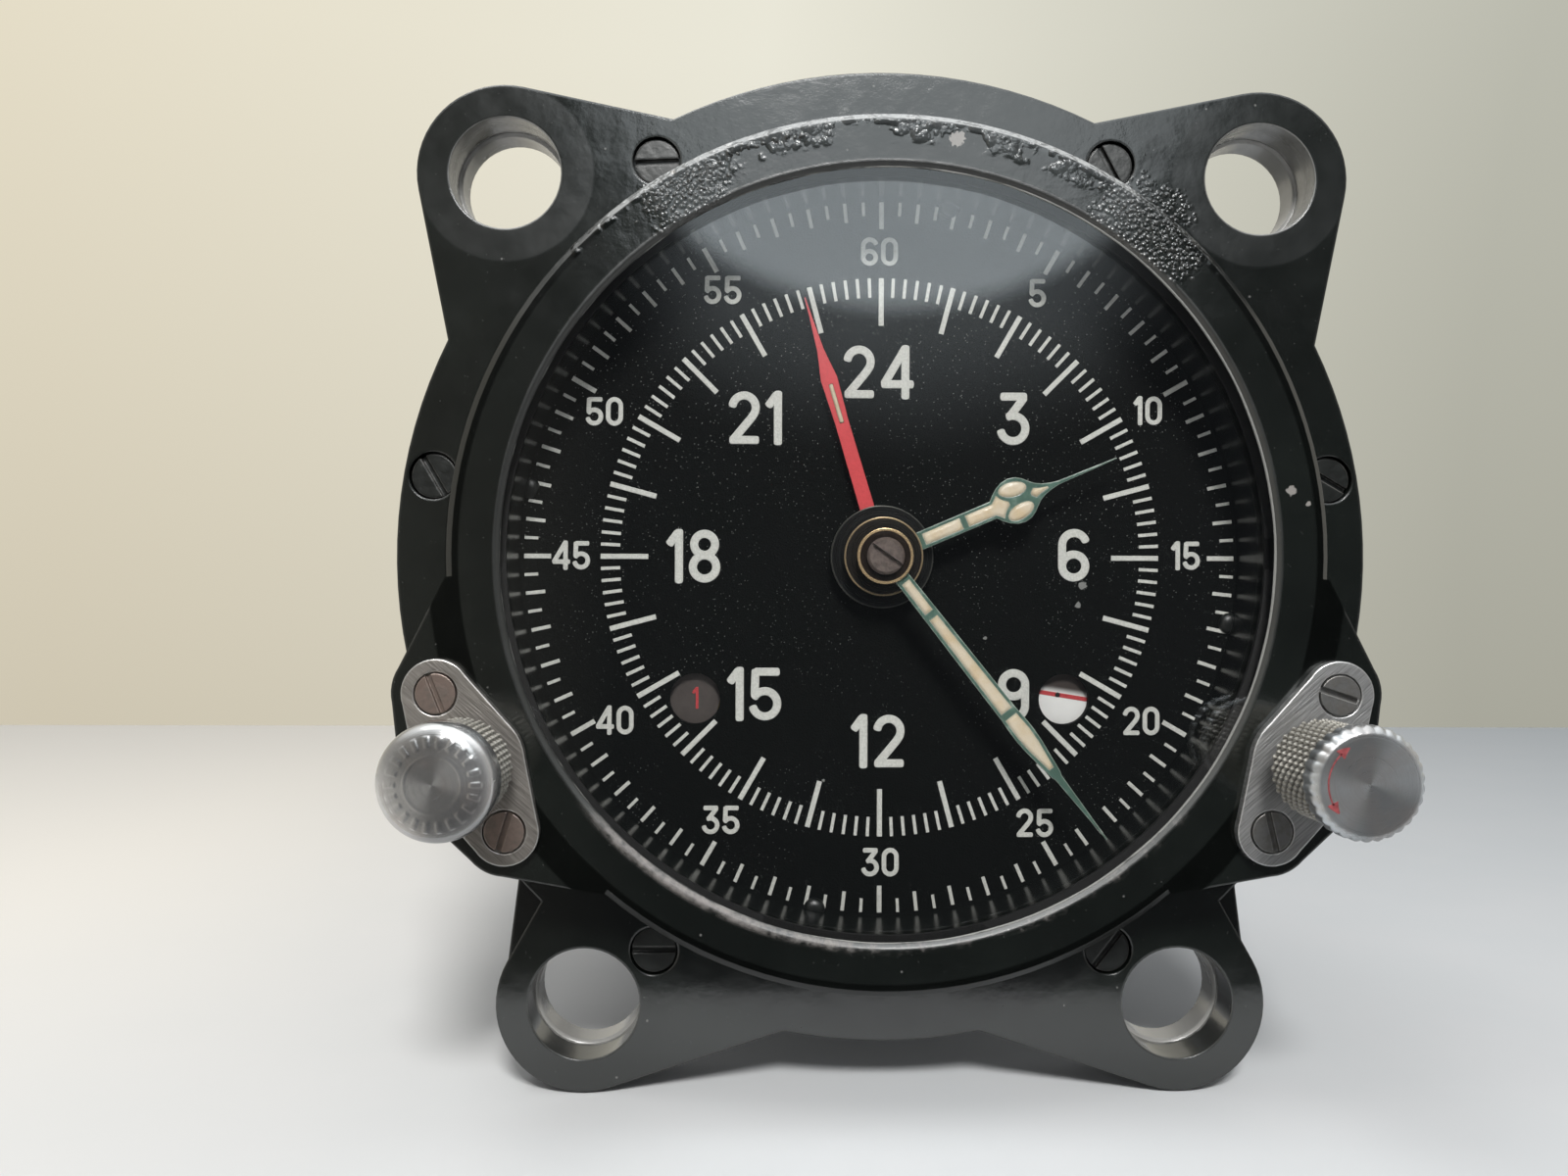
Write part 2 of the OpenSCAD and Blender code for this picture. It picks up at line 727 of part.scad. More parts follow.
module reset_cap() {
  color(alu) {
    slab(y_cap - reset_cap_h + 0.5, y_cap)
      translate(knob_rt)
        polygon([for (i = [0:scallops - 1]) for (k = [[reset_cap_r, -0.3], [reset_cap_r, 0.3], [reset_cap_r - 0.35, 0.5]])
          k[0] * dir((i + k[1]) * 360 / scallops)]);
    turned(knob_rt, [[0, y_cap - reset_cap_h], [reset_cap_r - 0.75, y_cap - reset_cap_h],
      [reset_cap_r - 0.4, y_cap - reset_cap_h + 0.6], [0, y_cap - reset_cap_h + 0.6]]);
  }
}

module reset_stem() {
  color(steel) {
    rod(knob_rt, stem_r, y_cap + 1.5, y_disc + 1);
    rod(knob_rt, 2.6, y_disc - pull - 0.6 + fit, y_disc - pull + 0.4);
  }
}

module stop_lever() {
  color(steel)
    difference() {
      union() {
        arm(knob_rt, 3, knob_rt + lever_len * dir(heading(knob_rt, at_escape) + lever_deg), 1, y_disc, y_disc + 0.8);
      }
      rod(knob_rt, stem_r, y_disc - 1, y_disc + 2);
    }
}

// Hands

module hand_at(angle, a, b) {
  slab(a, b)
    rotate(hand_dir(angle))
      children();
}

module second_outline() {
  polygon([[0, -0.8], [14.8, -0.72], [19.6, -0.88], [21.2, -0.6], [22.7, -0.36], [26.3, -0.13], [second_len, -0.05],
    [second_len, 0.05], [26.3, 0.13], [22.7, 0.36], [21.2, 0.6], [19.6, 0.88], [14.8, 0.72], [0, 0.8]]);
}

module second_slit() {
  translate([14.7, -0.24])
    square([4.3, 0.48]);
}

module second_hand() {
  color([0.75, 0.16, 0.17])
    difference() {
      hand_at(second_deg, y_second, y_second + hand_t)
        difference() {
          second_outline();
          second_slit();
        }
      rod([0, 0], second_hub_r - 1.2, y_second - 1, y_second + 1);
    }
}

module second_hub() {
  color([0.1, 0.08, 0.07]) {
    turned([0, 0], [[sweep_out, y_second - 0.4], [second_hub_r, y_second - 0.4], [second_hub_r, y_second],
      [second_hub_r - 1.2, y_second], [second_hub_r - 1.2, y_second + hand_t], [sweep_out + 0.4, y_second + hand_t],
      [sweep_out + 0.4, y_second + 1], [sweep_out, y_second + 1]]);
  }
}

// half outline of the hour hand, from the hub to the tip
hour_edge = [[0, 0.95], [12.4, 0.95], [12.9, 1.45], [13.5, 1.95], [14.2, 2.3], [15, 2.45], [15.8, 2.28], [16.4, 1.9],
  [16.9, 1.42], [17.4, 0.98], [18.1, 0.6], [18.9, 0.36], [19.8, 0.2], [hour_len, 0.07]];

// an outline and its mirror image about the hand's own axis
module both_sides(edge) {
  polygon(concat(edge, [for (i = [len(edge) - 1:-1:0]) [edge[i][0], -edge[i][1]]]));
}

module hour_outline() {
  both_sides(hour_edge);
}

module hour_cells() {
  both_sides([[4.6, 0.6], [8.8, 0.6]]);
  both_sides([[9.45, 0.6], [12.5, 0.6], [12.9, 0.95], [13.2, 1.25], [13.45, 0.85], [13.75, 0.5], [14.2, 0.2]]);
  for (s = [-1, 1])
    translate([15.05, 1.22 * s])
      rotate(-9.5 * s)
        polygon([for (a = [0:20:340]) [1.5 * cos(a), 0.76 * sin(a)]]);
  both_sides([[16.7, 0.12], [17.1, 0.5], [17.7, 0.28], [18.6, 0.08]]);
}

module hour_hand() {
  color([0.2, 0.36, 0.32])
    difference() {
      hand_at(hour_deg, y_hour_hand, y_hour_hand + hand_t)
        difference() {
          hour_outline();
          hour_cells();
        }
      rod([0, 0], hour_hub_r - 1, y_hour_hand - 1, y_hour_hand + 1);
    }
}

module hour_lume() {
  color(lume)
    hand_at(hour_deg, y_hour_hand, y_hour_hand + hand_t)
      hour_cells();
}

module hour_hub() {
  color([0.12, 0.1, 0.08])
    turned([0, 0], [[hour_out, y_hour_hand - 0.4], [hour_hub_r, y_hour_hand - 0.4], [hour_hub_r, y_hour_hand],
      [hour_hub_r - 1, y_hour_hand], [hour_hub_r - 1, y_hour_hand + hand_t], [hour_out + 0.4, y_hour_hand + hand_t],
      [hour_out + 0.4, y_hour_hand + 1], [hour_out, y_hour_hand + 1]]);
}

module minute_outline() {
  both_sides([[0, 0.8], [2.9, 0.8], [20.6, 1], [22, 1.09], [23.2, 1.12], [24.8, 1.02], [28.5, 0.55], [28.9, 0.4],
    [minute_len, 0.07]]);
}

module minute_cells() {
  both_sides([[3.4, 0.46], [7.3, 0.47]]);
  both_sides([[8.05, 0.48], [20.2, 0.66]]);
  both_sides([[20.95, 0.68], [23, 0.78], [24.8, 0.68], [27.7, 0.26]]);
}

module minute_hand() {
  color([0.2, 0.36, 0.32])
    difference() {
      hand_at(minute_deg, y_minute_hand, y_minute_hand + hand_t)
        difference() {
          minute_outline();
          minute_cells();
        }
      rod([0, 0], minute_hub_r - 0.7, y_minute_hand - 1, y_minute_hand + 1);
    }
}

module minute_lume() {
  color(lume)
    hand_at(minute_deg, y_minute_hand, y_minute_hand + hand_t)
      minute_cells();
}

module minute_hub() {
  color(brass)
    turned([0, 0], [[cannon_out, y_minute_hand - 0.5], [minute_hub_r, y_minute_hand - 0.5], [minute_hub_r, y_minute_hand],
      [minute_hub_r - 0.7, y_minute_hand], [minute_hub_r - 0.7, y_minute_hand + hand_t], [cannon_out + 0.4, y_minute_hand + hand_t],
      [cannon_out + 0.4, y_minute_hand + 0.9], [cannon_out, y_minute_hand + 0.9]]);
}

module hand_screw() {
  color(steel)
    difference() {
      turned([0, 0], [[0, y_minute_hand - 1.4], [hand_screw_r - 0.25, y_minute_hand - 1.4],
        [hand_screw_r, y_minute_hand - 1.15], [hand_screw_r, y_minute_hand - 0.5], [0, y_minute_hand - 0.5]]);
      translate([0, y_minute_hand - 1.4, 0])
        rotate([0, 35, 0])
          cube([3 * hand_screw_r, 2 * slot_d, slot_w], center = true);
    }
}

// Movement frame

module main_plate() {
  color(brass) {
    difference() {
      rod([0, 0], dial_r - 0.7 - loose, y_plate, y_plate_back);
      rod([0, 0], cannon_out + 0.6, y_plate - 1, y_plate_back + 1);
      for (p = [at_third, at_fourth, at_escape])
        rod(p, pivot_r + 0.3 + fit, y_plate - 1, y_plate_back + 1);
      rod(at_barrel, 1.8 + fit, y_plate - 1, y_plate_back + 1);
      for (a = case_screw_dirs)
        rod(case_boss_at * dir(a), 1.1, y_plate - 1, y_plate_back + 1);
      for (a = pillar_dirs)
        rod(pillar_at * dir(a), 1.1, y_plate - 1, y_plate_back + 1);
      rod(at_post, 1, y_plate - 1, y_plate_back - 0.6);
    }
    rod(at_winding, 1, y_disc + 0.2, y_plate);
    rod(at_minute, 0.6, y_hour - 0.3, y_plate);
    rod(at_click, 0.8, y_disc + 0.3, y_plate);
    rod(at_click, 1.6, y_disc + 1.1 + fit, y_plate);
  }
}

module back_plate() {
  color(brass)
    difference() {
      rod([0, 0], back_plate_r, y_back, y_back_end);
      for (p = [[0, 0], at_third, at_fourth])
        rod(p, pivot_r + fit, y_back - 1, y_back_end + 1);
      rod(at_escape, pivot_r + 0.3 + fit, y_back - 1, y_back_end + 1);
      for (p = [at_pallet, at_balance])
        rod(p, pivot_r + fit, y_back + 0.6, y_back_end + 1);
      rod(at_barrel, 1.4 + fit, y_back - 1, y_back_end + 1);
      for (a = pillar_dirs)
        rod(pillar_at * dir(a), 1.1, y_back - 1, y_back_end + 1);
      for (p = [bridge_foot(), cock_foot()])
        rod(p, 1, y_back + 0.5, y_back_end + 1);
    }
}

module pillars() {
  color(brass)
    for (a = pillar_dirs)
      difference() {
        rod(pillar_at * dir(a), 2.2, y_plate_back, y_back);
        rod(pillar_at * dir(a), 0.9, y_plate_back - 1, y_back + 1);
      }
}

module pillar_screws() {
  color(steel)
    for (a = pillar_dirs) {
      screw(pillar_at * dir(a), 1.8, 0.6, 0.9, y_plate - 0.6, y_plate_back + 4, a);
      mirror([0, 1, 0])
        screw(pillar_at * dir(a), 1.9, 0.9, 0.9, -y_back_end - 0.9, -y_back + 4, a);
    }
}

module case_screws() {
  color(steel)
    for (a = case_screw_dirs)
      screw(case_boss_at * dir(a), 1.9, 0.6, 0.9, y_plate - 0.6, y_plate_back + 5, a);
}

function bridge_foot() = at_escape + 9 * dir(25);
function cock_foot() = at_balance + 13 * dir(-125);

module seconds_cock() {
  color(brass) {
    difference() {
      union() {
        rod([0, 0], 3.4, y_cock, y_cock + 1);
        rod(at_post, 3, y_cock, y_cock + 1);
        slab(y_cock, y_cock + 1)
          bar([0, 0], at_post, 2.2);
        rod(at_post, 2.6, y_cock + 1, y_plate);
      }
      rod([0, 0], sweep_out + fit, y_cock - 1, y_cock + 2);
      rod(at_post, 1, y_cock - 1, y_plate + 1);
    }
  }
}

module cock_screws() {
  color(steel) {
    screw(at_post, 1.9, 0.4, 1, y_cock - 0.4, y_plate_back - 0.8, 0);
    mirror([0, 1, 0])
      screw(bridge_foot(), 1.9, 0.8, 1, -y_bridge - 2, -y_back - 0.8, 0);
    mirror([0, 1, 0])
      screw(cock_foot(), 1.9, 0.8, 1, -y_balance_cock - 2.8, -y_back - 0.8, 0);
  }
}

module escape_bridge() {
  color(brass)
    difference() {
      union() {
        slab(y_bridge, y_bridge + 1.2) {
          link(bridge_foot(), 2.8, at_escape, 2.2);
          link(at_escape, 2.2, at_pallet, 1.6);
        }
        rod(bridge_foot(), 2.6, y_back_end, y_bridge);
      }
      for (p = [at_escape, at_pallet])
        rod(p, pivot_r + fit, y_bridge - 1, y_bridge + 2);
      rod(bridge_foot(), 1, y_back, y_bridge + 2);
    }
}

module balance_cock() {
  color(brass)
    difference() {
      union() {
        slab(y_balance_cock, y_balance_cock + 2)
          link(cock_foot(), 3.2, at_balance, 2.4);
        rod(cock_foot(), 3, y_back_end, y_balance_cock);
        rod(stud_at(), 0.6, y_spring, y_balance_cock + 1);
      }
      rod(at_balance, pivot_r + fit, y_balance_cock - 1, y_balance_cock + 1.5);
      rod(cock_foot(), 1, y_back, y_balance_cock + 3);
    }
}

function stud_at() = at_balance + (spring_end_r + 0.65) * dir(-125);

// Barrel and winding

module barrel() {
  color(brass)
    difference() {
      union() {
        pinion(at_barrel, n_barrel, barrel_module, barrel_phase, y_barrel, y_barrel + 1.2);
        rod(at_barrel, barrel_r, y_barrel, y_barrel + barrel_h);
      }
      rod(at_barrel, barrel_r - 1, y_barrel + 1, y_barrel + barrel_h + 1);
      rod(at_barrel, 1.8 + fit, y_barrel - 1, y_barrel + 2);
    }
}

module barrel_cover() {
  color(brass)
    difference() {
      rod(at_barrel, barrel_r - 1, y_barrel + barrel_h - 0.8, y_barrel + barrel_h);
      rod(at_barrel, 1.8 + fit, y_barrel, y_barrel + barrel_h + 1);
    }
}

module mainspring() {
  turns = 7;
  steps = 24;
  r0 = 3.4;
  r1 = barrel_r - 1.15;
  grow = (r1 - r0 - 0.3) / (turns * 360);
  color(steel)
    slab(y_barrel + 1.2, y_barrel + barrel_h - 1)
      translate(at_barrel)
        polygon(concat(
          [for (i = [0:turns * steps]) (r0 + grow * i * 360 / steps) * dir(i * 360 / steps)],
          [for (i = [turns * steps:-1:0]) (r0 + 0.3 + grow * i * 360 / steps) * dir(i * 360 / steps)]));
}

module barrel_arbor() {
  color(steel) {
    rod(at_barrel, 1.8, y_disc - 0.1, y_barrel + barrel_h + 0.2);
    rod(at_barrel, 2.8, y_barrel + 1.1, y_barrel + barrel_h - 0.9);
    rod(at_barrel, 1.4, y_barrel + barrel_h + 0.2, y_back_end - 0.2);
  }
}

module ratchet_wheel() {
  color(steel)
    difference() {
      pinion(at_barrel, n_ratchet, winding_module, ratchet_phase, y_disc + 0.1, y_disc + 0.9);
      rod(at_barrel, 1.8, y_disc - 1, y_disc + 2);
    }
}

module click() {
  tip = at_barrel + (n_ratchet * winding_module / 2 + 0.85 * winding_module + 0.75) * dir(96);
  color(steel)
    difference() {
      union() {
        arm(at_click, 1.9, tip, 0.45, y_disc + 0.2, y_disc + 1);
      }
      rod(at_click, 0.8 + fit, y_disc - 1, y_disc + 2);
    }
}

module winding_wheel() {
  color(brass)
    difference() {
      union() {
        wheel(at_winding, n_winding, winding_module, winding_phase, 3, y_disc + 0.1, y_disc + 0.9);
        rod(at_winding, 2, y_disc + 0.1, y_plate - fit);
      }
      rod(at_winding, 1 + fit, y_disc - 1, y_plate + 1);
    }
}

module day_disc() {
  color([0.2, 0.19, 0.17])
    rod(at_winding, disc_r, y_disc - 0.2, y_disc + 0.1);
}

// Going train and hands work

module centre_wheel() {
  color(brass) {
    difference() {
      union() {
        wheel([0, 0], n_centre, centre_module, centre_phase, 3, y_centre, y_centre + wheel_t);
        pinion([0, 0], n_centre_pin, barrel_module, 0, y_centre + wheel_t, y_barrel + 1.5);
        rod([0, 0], cannon_out + 0.6 - fit, y_plate - 0.1, y_centre);
        rod([0, 0], 1.2, y_barrel + 1.5, y_back - 0.1);
        rod([0, 0], pivot_r, y_back - 0.1, y_back_end - 0.1);
      }
    }
    rod([0, 0], centre_r, y_minute_hand - 0.4, y_plate);
  }
}

module cannon_pinion() {
  color(steel)
    difference() {
      union() {
        pinion([0, 0], n_cannon, minute_module, 0, y_cannon - 0.1, y_cannon + wheel_t + 0.1);
        rod([0, 0], cannon_out, y_minute_hand - 0.5, y_cannon);
      }
      rod([0, 0], cannon_in, y_minute_hand - 1, y_plate);
    }
}

module minute_wheel() {
  color(brass)
    difference() {
      union() {
        wheel(at_minute, n_minute, minute_module, minute_phase, 2, y_cannon, y_cannon + wheel_t, 4);
        pinion(at_minute, n_minute_pin, hour_module, 0, y_hour - 0.1, y_cannon);
      }
      rod(at_minute, 0.6 + fit, y_hour - 1, y_plate + 1);
    }
}

module hour_wheel() {
  color(brass)
    difference() {
      union() {
        wheel([0, 0], n_hour, hour_module, hour_phase, 2.6, y_hour, y_hour + wheel_t, 4);
        rod([0, 0], hour_out, y_hour_hand - 0.4, y_hour);
      }
      rod([0, 0], hour_in, y_hour_hand - 1, y_plate);
    }
}

module sweep_pinion() {
  color(steel)
    difference() {
      union() {
        pinion([0, 0], n_sweep, sweep_module, 0, y_sweep - 0.1, y_sweep + wheel_t + 0.1);
        rod([0, 0], sweep_out, y_second - 0.4, y_sweep);
      }
      rod([0, 0], sweep_in, y_second - 1, y_hour);
    }
}

module third_wheel() {
  color(brass) {
    wheel(at_third, n_third, sweep_module, third_phase, 2, y_sweep, y_sweep + wheel_t);
    rod(at_third, pivot_r + 0.3, y_sweep + wheel_t, y_third);
    pinion(at_third, n_third_pin, centre_module, 0, y_centre - 0.2, y_centre + wheel_t + 0.2);
    wheel(at_third, n_third_b, sweep_module, 0, 2, y_third, y_third + wheel_t);
    rod(at_third, pivot_r + 0.3, y_third + wheel_t, y_back - 0.1);
    rod(at_third, pivot_r, y_back - 0.1, y_back_end - 0.1);
  }
}

module fourth_wheel() {
  color(brass) {
    rod(at_fourth, pivot_r + 0.3, y_plate + 0.2, y_third - 0.2);
    pinion(at_fourth, n_fourth_pin, sweep_module, fourth_pin_phase, y_third - 0.2, y_third + wheel_t + 0.2);
    rod(at_fourth, pivot_r + 0.3, y_third + wheel_t, y_back - 0.1);
    wheel(at_fourth, n_fourth, fourth_module, 0, 2, y_fourth, y_fourth + wheel_t);
    rod(at_fourth, pivot_r, y_back - 0.1, y_back_end - 0.1);
  }
}

module escape_wheel() {
  n = 15;
  color(brass) {
    rod(at_escape, pivot_r + 0.3, y_disc - 0.1, y_escape);
    pinion(at_escape, n_escape_pin, fourth_module, escape_pin_phase, y_fourth - 0.2, y_fourth + wheel_t + 0.2);
    slab(y_escape, y_escape + wheel_t)
      translate(at_escape) {
        difference() {
          polygon([for (i = [0:n - 1]) for (k = [[3.9, 0], [5.4, 0.62], [5.4, 0.74], [3.9, 0.8]]) k[0] * dir((i + k[1]) * 360 / n)]);
          circle(3.1);
        }
        circle(1.5);
        for (i = [0:3])
          rotate(i * 90)
            translate([0, -0.5])
              square([3.5, 1]);
      }
    rod(at_escape, pivot_r, y_escape + wheel_t, y_bridge + 1);
  }
}

module run_disc() {
  color([0.9, 0.9, 0.88])
    rod(at_escape, run_disc_r, y_disc - 0.2, y_disc - 0.1);
}

// Escapement

module pallet_lever() {
  d = pallet_dir + 180;
  color(steel) {
    slab(y_escape, y_escape + wheel_t) {
      translate(at_pallet) {
        circle(1.3);
        rotate(pallet_dir)
          translate([0, -0.4])
            square([6.2, 0.8]);
      }
      for (e = [-1, 1])
        link(at_pallet, 0.9, at_escape + 6.5 * dir(d + 180 + e * 42), 0.4);
      for (e = [-1, 1])
        translate(at_pallet + 6.1 * dir(pallet_dir))
          rotate(pallet_dir)
            translate([0, e > 0 ? 0.3 : -0.9])
              square([1.3, 0.6]);
    }
    rod(at_pallet, pivot_r, y_back + 0.8, y_escape);
    rod(at_pallet, pivot_r, y_escape + wheel_t, y_bridge + 1);
  }
}

module balance_wheel() {
  color(brass) {
    slab(y_balance, y_balance + 1.2)
      translate(at_balance) {
        difference() {
          circle(balance_r);
          circle(balance_r - 1.3);
        }
        circle(1.8);
        rotate(20)
          translate([0.6 - balance_r, -0.8])
            square([2 * balance_r - 1.2, 1.6]);
      }
    rod(at_balance, 0.8, y_back_end + 0.4, y_balance_cock - 0.2);
    rod(at_balance, 1.5, y_escape + wheel_t + 0.4, y_bridge + 0.6);
    rod(at_balance, pivot_r, y_back + 0.8, y_balance_cock + 1.3);
  }
}

module hairspring() {
  turns = 6;
  steps = 24;
  grow = (spring_end_r - 0.12 - 1) / (turns * 360);
  color([0.2, 0.28, 0.5])
    difference() {
      union() {
        rod(at_balance, 1.35, y_spring, y_spring + 0.6);
        slab(y_spring, y_spring + 0.6)
          translate(at_balance)
            rotate(-125)
              polygon(concat(
                [for (i = [0:turns * steps]) (1.0 + grow * i * 360 / steps) * dir(i * 360 / steps)],
                [for (i = [turns * steps:-1:0]) (1.12 + grow * i * 360 / steps) * dir(i * 360 / steps)]));
      }
      rod(at_balance, 0.8, y_spring - 1, y_spring + 1);
    }
}

front_frame();
rear_case();
rear_cover();
cover_screws();
frame_screws();
glass();
glass_gasket();
dial_wall();
dial();
winding_plate();
reset_plate();
plate_screws();
winding_bush();
reset_bush();
winding_sleeve();
winding_knob();
winding_cap();
winding_stem();
reset_knob();
reset_cap();
reset_stem();
stop_lever();
second_hand();
second_hub();
hour_hand();
hour_lume();
hour_hub();
minute_hand();
minute_lume();
minute_hub();
hand_screw();
main_plate();
back_plate();
pillars();
pillar_screws();
case_screws();
seconds_cock();
cock_screws();
escape_bridge();
balance_cock();
barrel();
barrel_cover();
mainspring();
barrel_arbor();
ratchet_wheel();
click();
winding_wheel();
day_disc();
centre_wheel();
cannon_pinion();
minute_wheel();
hour_wheel();
sweep_pinion();
third_wheel();
fourth_wheel();
escape_wheel();
run_disc();
pallet_lever();
balance_wheel();
hairspring();
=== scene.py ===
"""Finishes, dial print, knurled knobs and a studio stage for a round aircraft panel clock.

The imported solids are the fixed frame. Lengths below are millimetres in the frame's own axes,
with the dial axis along Y and the face towards -Y, and become metres when a mesh is made.
"""

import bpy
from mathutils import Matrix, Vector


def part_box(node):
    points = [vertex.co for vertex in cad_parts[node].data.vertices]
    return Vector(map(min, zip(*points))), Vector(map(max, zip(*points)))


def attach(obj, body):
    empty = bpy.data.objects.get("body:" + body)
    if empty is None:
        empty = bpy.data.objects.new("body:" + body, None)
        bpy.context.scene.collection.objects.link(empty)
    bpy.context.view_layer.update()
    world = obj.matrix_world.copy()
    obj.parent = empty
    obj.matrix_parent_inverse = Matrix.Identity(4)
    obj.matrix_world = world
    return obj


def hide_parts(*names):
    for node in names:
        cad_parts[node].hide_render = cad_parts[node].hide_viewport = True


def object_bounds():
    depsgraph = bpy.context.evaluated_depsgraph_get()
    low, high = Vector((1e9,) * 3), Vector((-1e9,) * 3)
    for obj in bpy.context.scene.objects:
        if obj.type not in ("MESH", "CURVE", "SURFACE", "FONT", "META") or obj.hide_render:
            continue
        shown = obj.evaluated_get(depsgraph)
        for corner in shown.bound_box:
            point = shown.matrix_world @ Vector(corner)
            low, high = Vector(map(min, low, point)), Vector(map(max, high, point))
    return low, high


bl_info = {
    "name": "Panel Clock Dress",
    "version": (1, 0, 0),
    "blender": (4, 5, 0),
    "location": "3D View > Sidebar > Panel Clock",
    "description": "Finishes, dial print, knurled knobs and a stage for a round panel clock",
    "category": "Object",
}

import math

import bmesh
import bpy
import numpy as np
from bpy.props import FloatProperty, FloatVectorProperty, IntProperty, PointerProperty

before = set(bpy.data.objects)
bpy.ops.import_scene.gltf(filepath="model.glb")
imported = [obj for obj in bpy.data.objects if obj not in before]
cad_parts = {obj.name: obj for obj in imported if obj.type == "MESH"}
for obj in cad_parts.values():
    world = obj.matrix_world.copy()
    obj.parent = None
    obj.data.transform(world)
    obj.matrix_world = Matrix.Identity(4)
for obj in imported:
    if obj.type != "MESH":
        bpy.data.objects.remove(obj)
CAD_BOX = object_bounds()
MM = 0.001


def node_box(name):
    """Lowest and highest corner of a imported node, in millimetres."""
    low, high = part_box(name)
    return np.array(low) / MM, np.array(high) / MM


# Stations along the dial axis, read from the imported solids
DIAL_FRONT = node_box("dial")[0][1]
DISC_FRONT = node_box("day_disc")[0][1]
RUN_FRONT = node_box("run_disc")[0][1]
SECOND_FRONT = node_box("second_hand")[0][1]
SECOND_BACK = node_box("second_hand")[1][1]

# Sizes that the boxes of the solids don't show: inner radius of the dial wall, joint of the two castings in front
# of the lugs' rear face, lug axes on the right as x and z, front radius of the lug bores, and the two windows
WALL_IN = 38.2
LUG_SPLIT = 3.5
LUG_AXES = ((39.39, 39.66), (30.93, -46.56))
BORE_R = 5.8
WINDOW_R = 2.7
WINDOWS = (np.array([-19.7, -15.1]), np.array([19.7, -15.1]))

# Runs of paint drops on the ring: angle and spread in degrees, ring radii, tries, smallest and largest drop
RUNS_OF_DROPS = (
    (120.0, 2.7, 40.2, 42.5, 230, 0.13, 0.30),
    (108.0, 3.2, 42.0, 42.5, 70, 0.20, 0.42),
    (51.0, 3.6, 40.3, 42.3, 260, 0.14, 0.30),
)

# Width left at the upper edge of a painted mark, as a share, and the depth to which paint sinks into its ground
PAINT_EDGE = 0.86
PAINT_SINK = 0.004

# Points of a path that lie nearer than this are one point
SAME_PLACE = 1e-6


def axis_of(name):
    """Centre of a turned node seen from the front, as x and z in millimetres."""
    low, high = node_box(name)
    return (low[[0, 2]] + high[[0, 2]]) / 2


# Properties


def length(name, description, default):
    """A length property that holds metres and is written in millimetres."""
    return FloatProperty(name=name, description=description, default=default * MM, unit="LENGTH", precision=5)


def colour(name, description, default):
    """A linear colour property."""
    return FloatVectorProperty(
        name=name, description=description, default=default, subtype="COLOR", size=3, min=0.0, max=1.0
    )


def whole(name, description, default, least, most):
    """A whole number property."""
    return IntProperty(name=name, description=description, default=default, min=least, max=most)


def angle(name, description, degrees):
    """An angle property that is written in degrees."""
    return FloatProperty(name=name, description=description, default=math.radians(degrees), subtype="ANGLE")


def watts(name, description, default):
    """A lamp's power property."""
    return FloatProperty(name=name, description=description, default=default, subtype="POWER")


class ClockDialSizes(bpy.types.PropertyGroup):
    """Sizes of the print on the dial"""

    hour_ring: length("Hour ring", "Outer radius of the 24 hour ring", 29.75)
    hour_tick: length("Hour mark", "Length of an hour mark", 5.05)
    part_tick: length("Ten minute mark", "Length of a mark between two hours", 2.05)
    minute_ring: length("Minute ring", "Outer radius of the minute ring", 37.85)
    five_tick: length("Five minute mark", "Length of a five minute mark", 2.85)
    one_tick: length("Minute mark", "Length of a minute mark", 2.05)
    half_tick: length("Half minute mark", "Length of a half minute mark", 1.45)
    hour_height: length("Hour numerals", "Height of the hour numerals", 5.6)
    minute_height: length("Minute numerals", "Height of the minute numerals", 3.0)
    ink: length("Paint height", "Height of the paint above the dial", 0.06)


class ClockKnobSizes(bpy.types.PropertyGroup):
    """Sizes of the knurled knobs and their caps"""

    diamonds: whole("Diamonds", "Knurl diamonds round a knob", 26, 12, 80)
    knurl: length("Knurl depth", "Depth of the knurl", 0.42)
    scallops: whole("Scallops", "Scallops round the reset cap", 30, 12, 48)
    scallop: length("Scallop depth", "Depth of a scallop", 0.17)
    ticks: whole("Raised ticks", "Raised ticks round the winding cap", 22, 8, 40)
    tick_lift: length("Tick height", "Height of a raised tick", 0.055)


class ClockColours(bpy.types.PropertyGroup):
    """Colours of the finishes"""

    enamel: colour("Enamel", "Black enamel of the case", (0.0036, 0.0047, 0.0040))
    dial: colour("Dial", "Matt black of the dial", (0.0010, 0.0015, 0.0012))
    print: colour("Print", "Paint of marks and numerals", (0.58, 0.585, 0.545))
    green: colour("Hand green", "Enamel of the hour and minute hands", (0.070, 0.128, 0.102))
    lume: colour("Luminous", "Aged luminous paint", (0.66, 0.575, 0.44))
    red: colour("Red", "Red paint", (0.56, 0.052, 0.058))
    aluminium: colour("Aluminium", "Bare aluminium", (0.57, 0.57, 0.57))
    steel: colour("Steel", "Plain steel", (0.42, 0.42, 0.42))
    brass: colour("Brass", "Movement brass", (0.62, 0.43, 0.17))


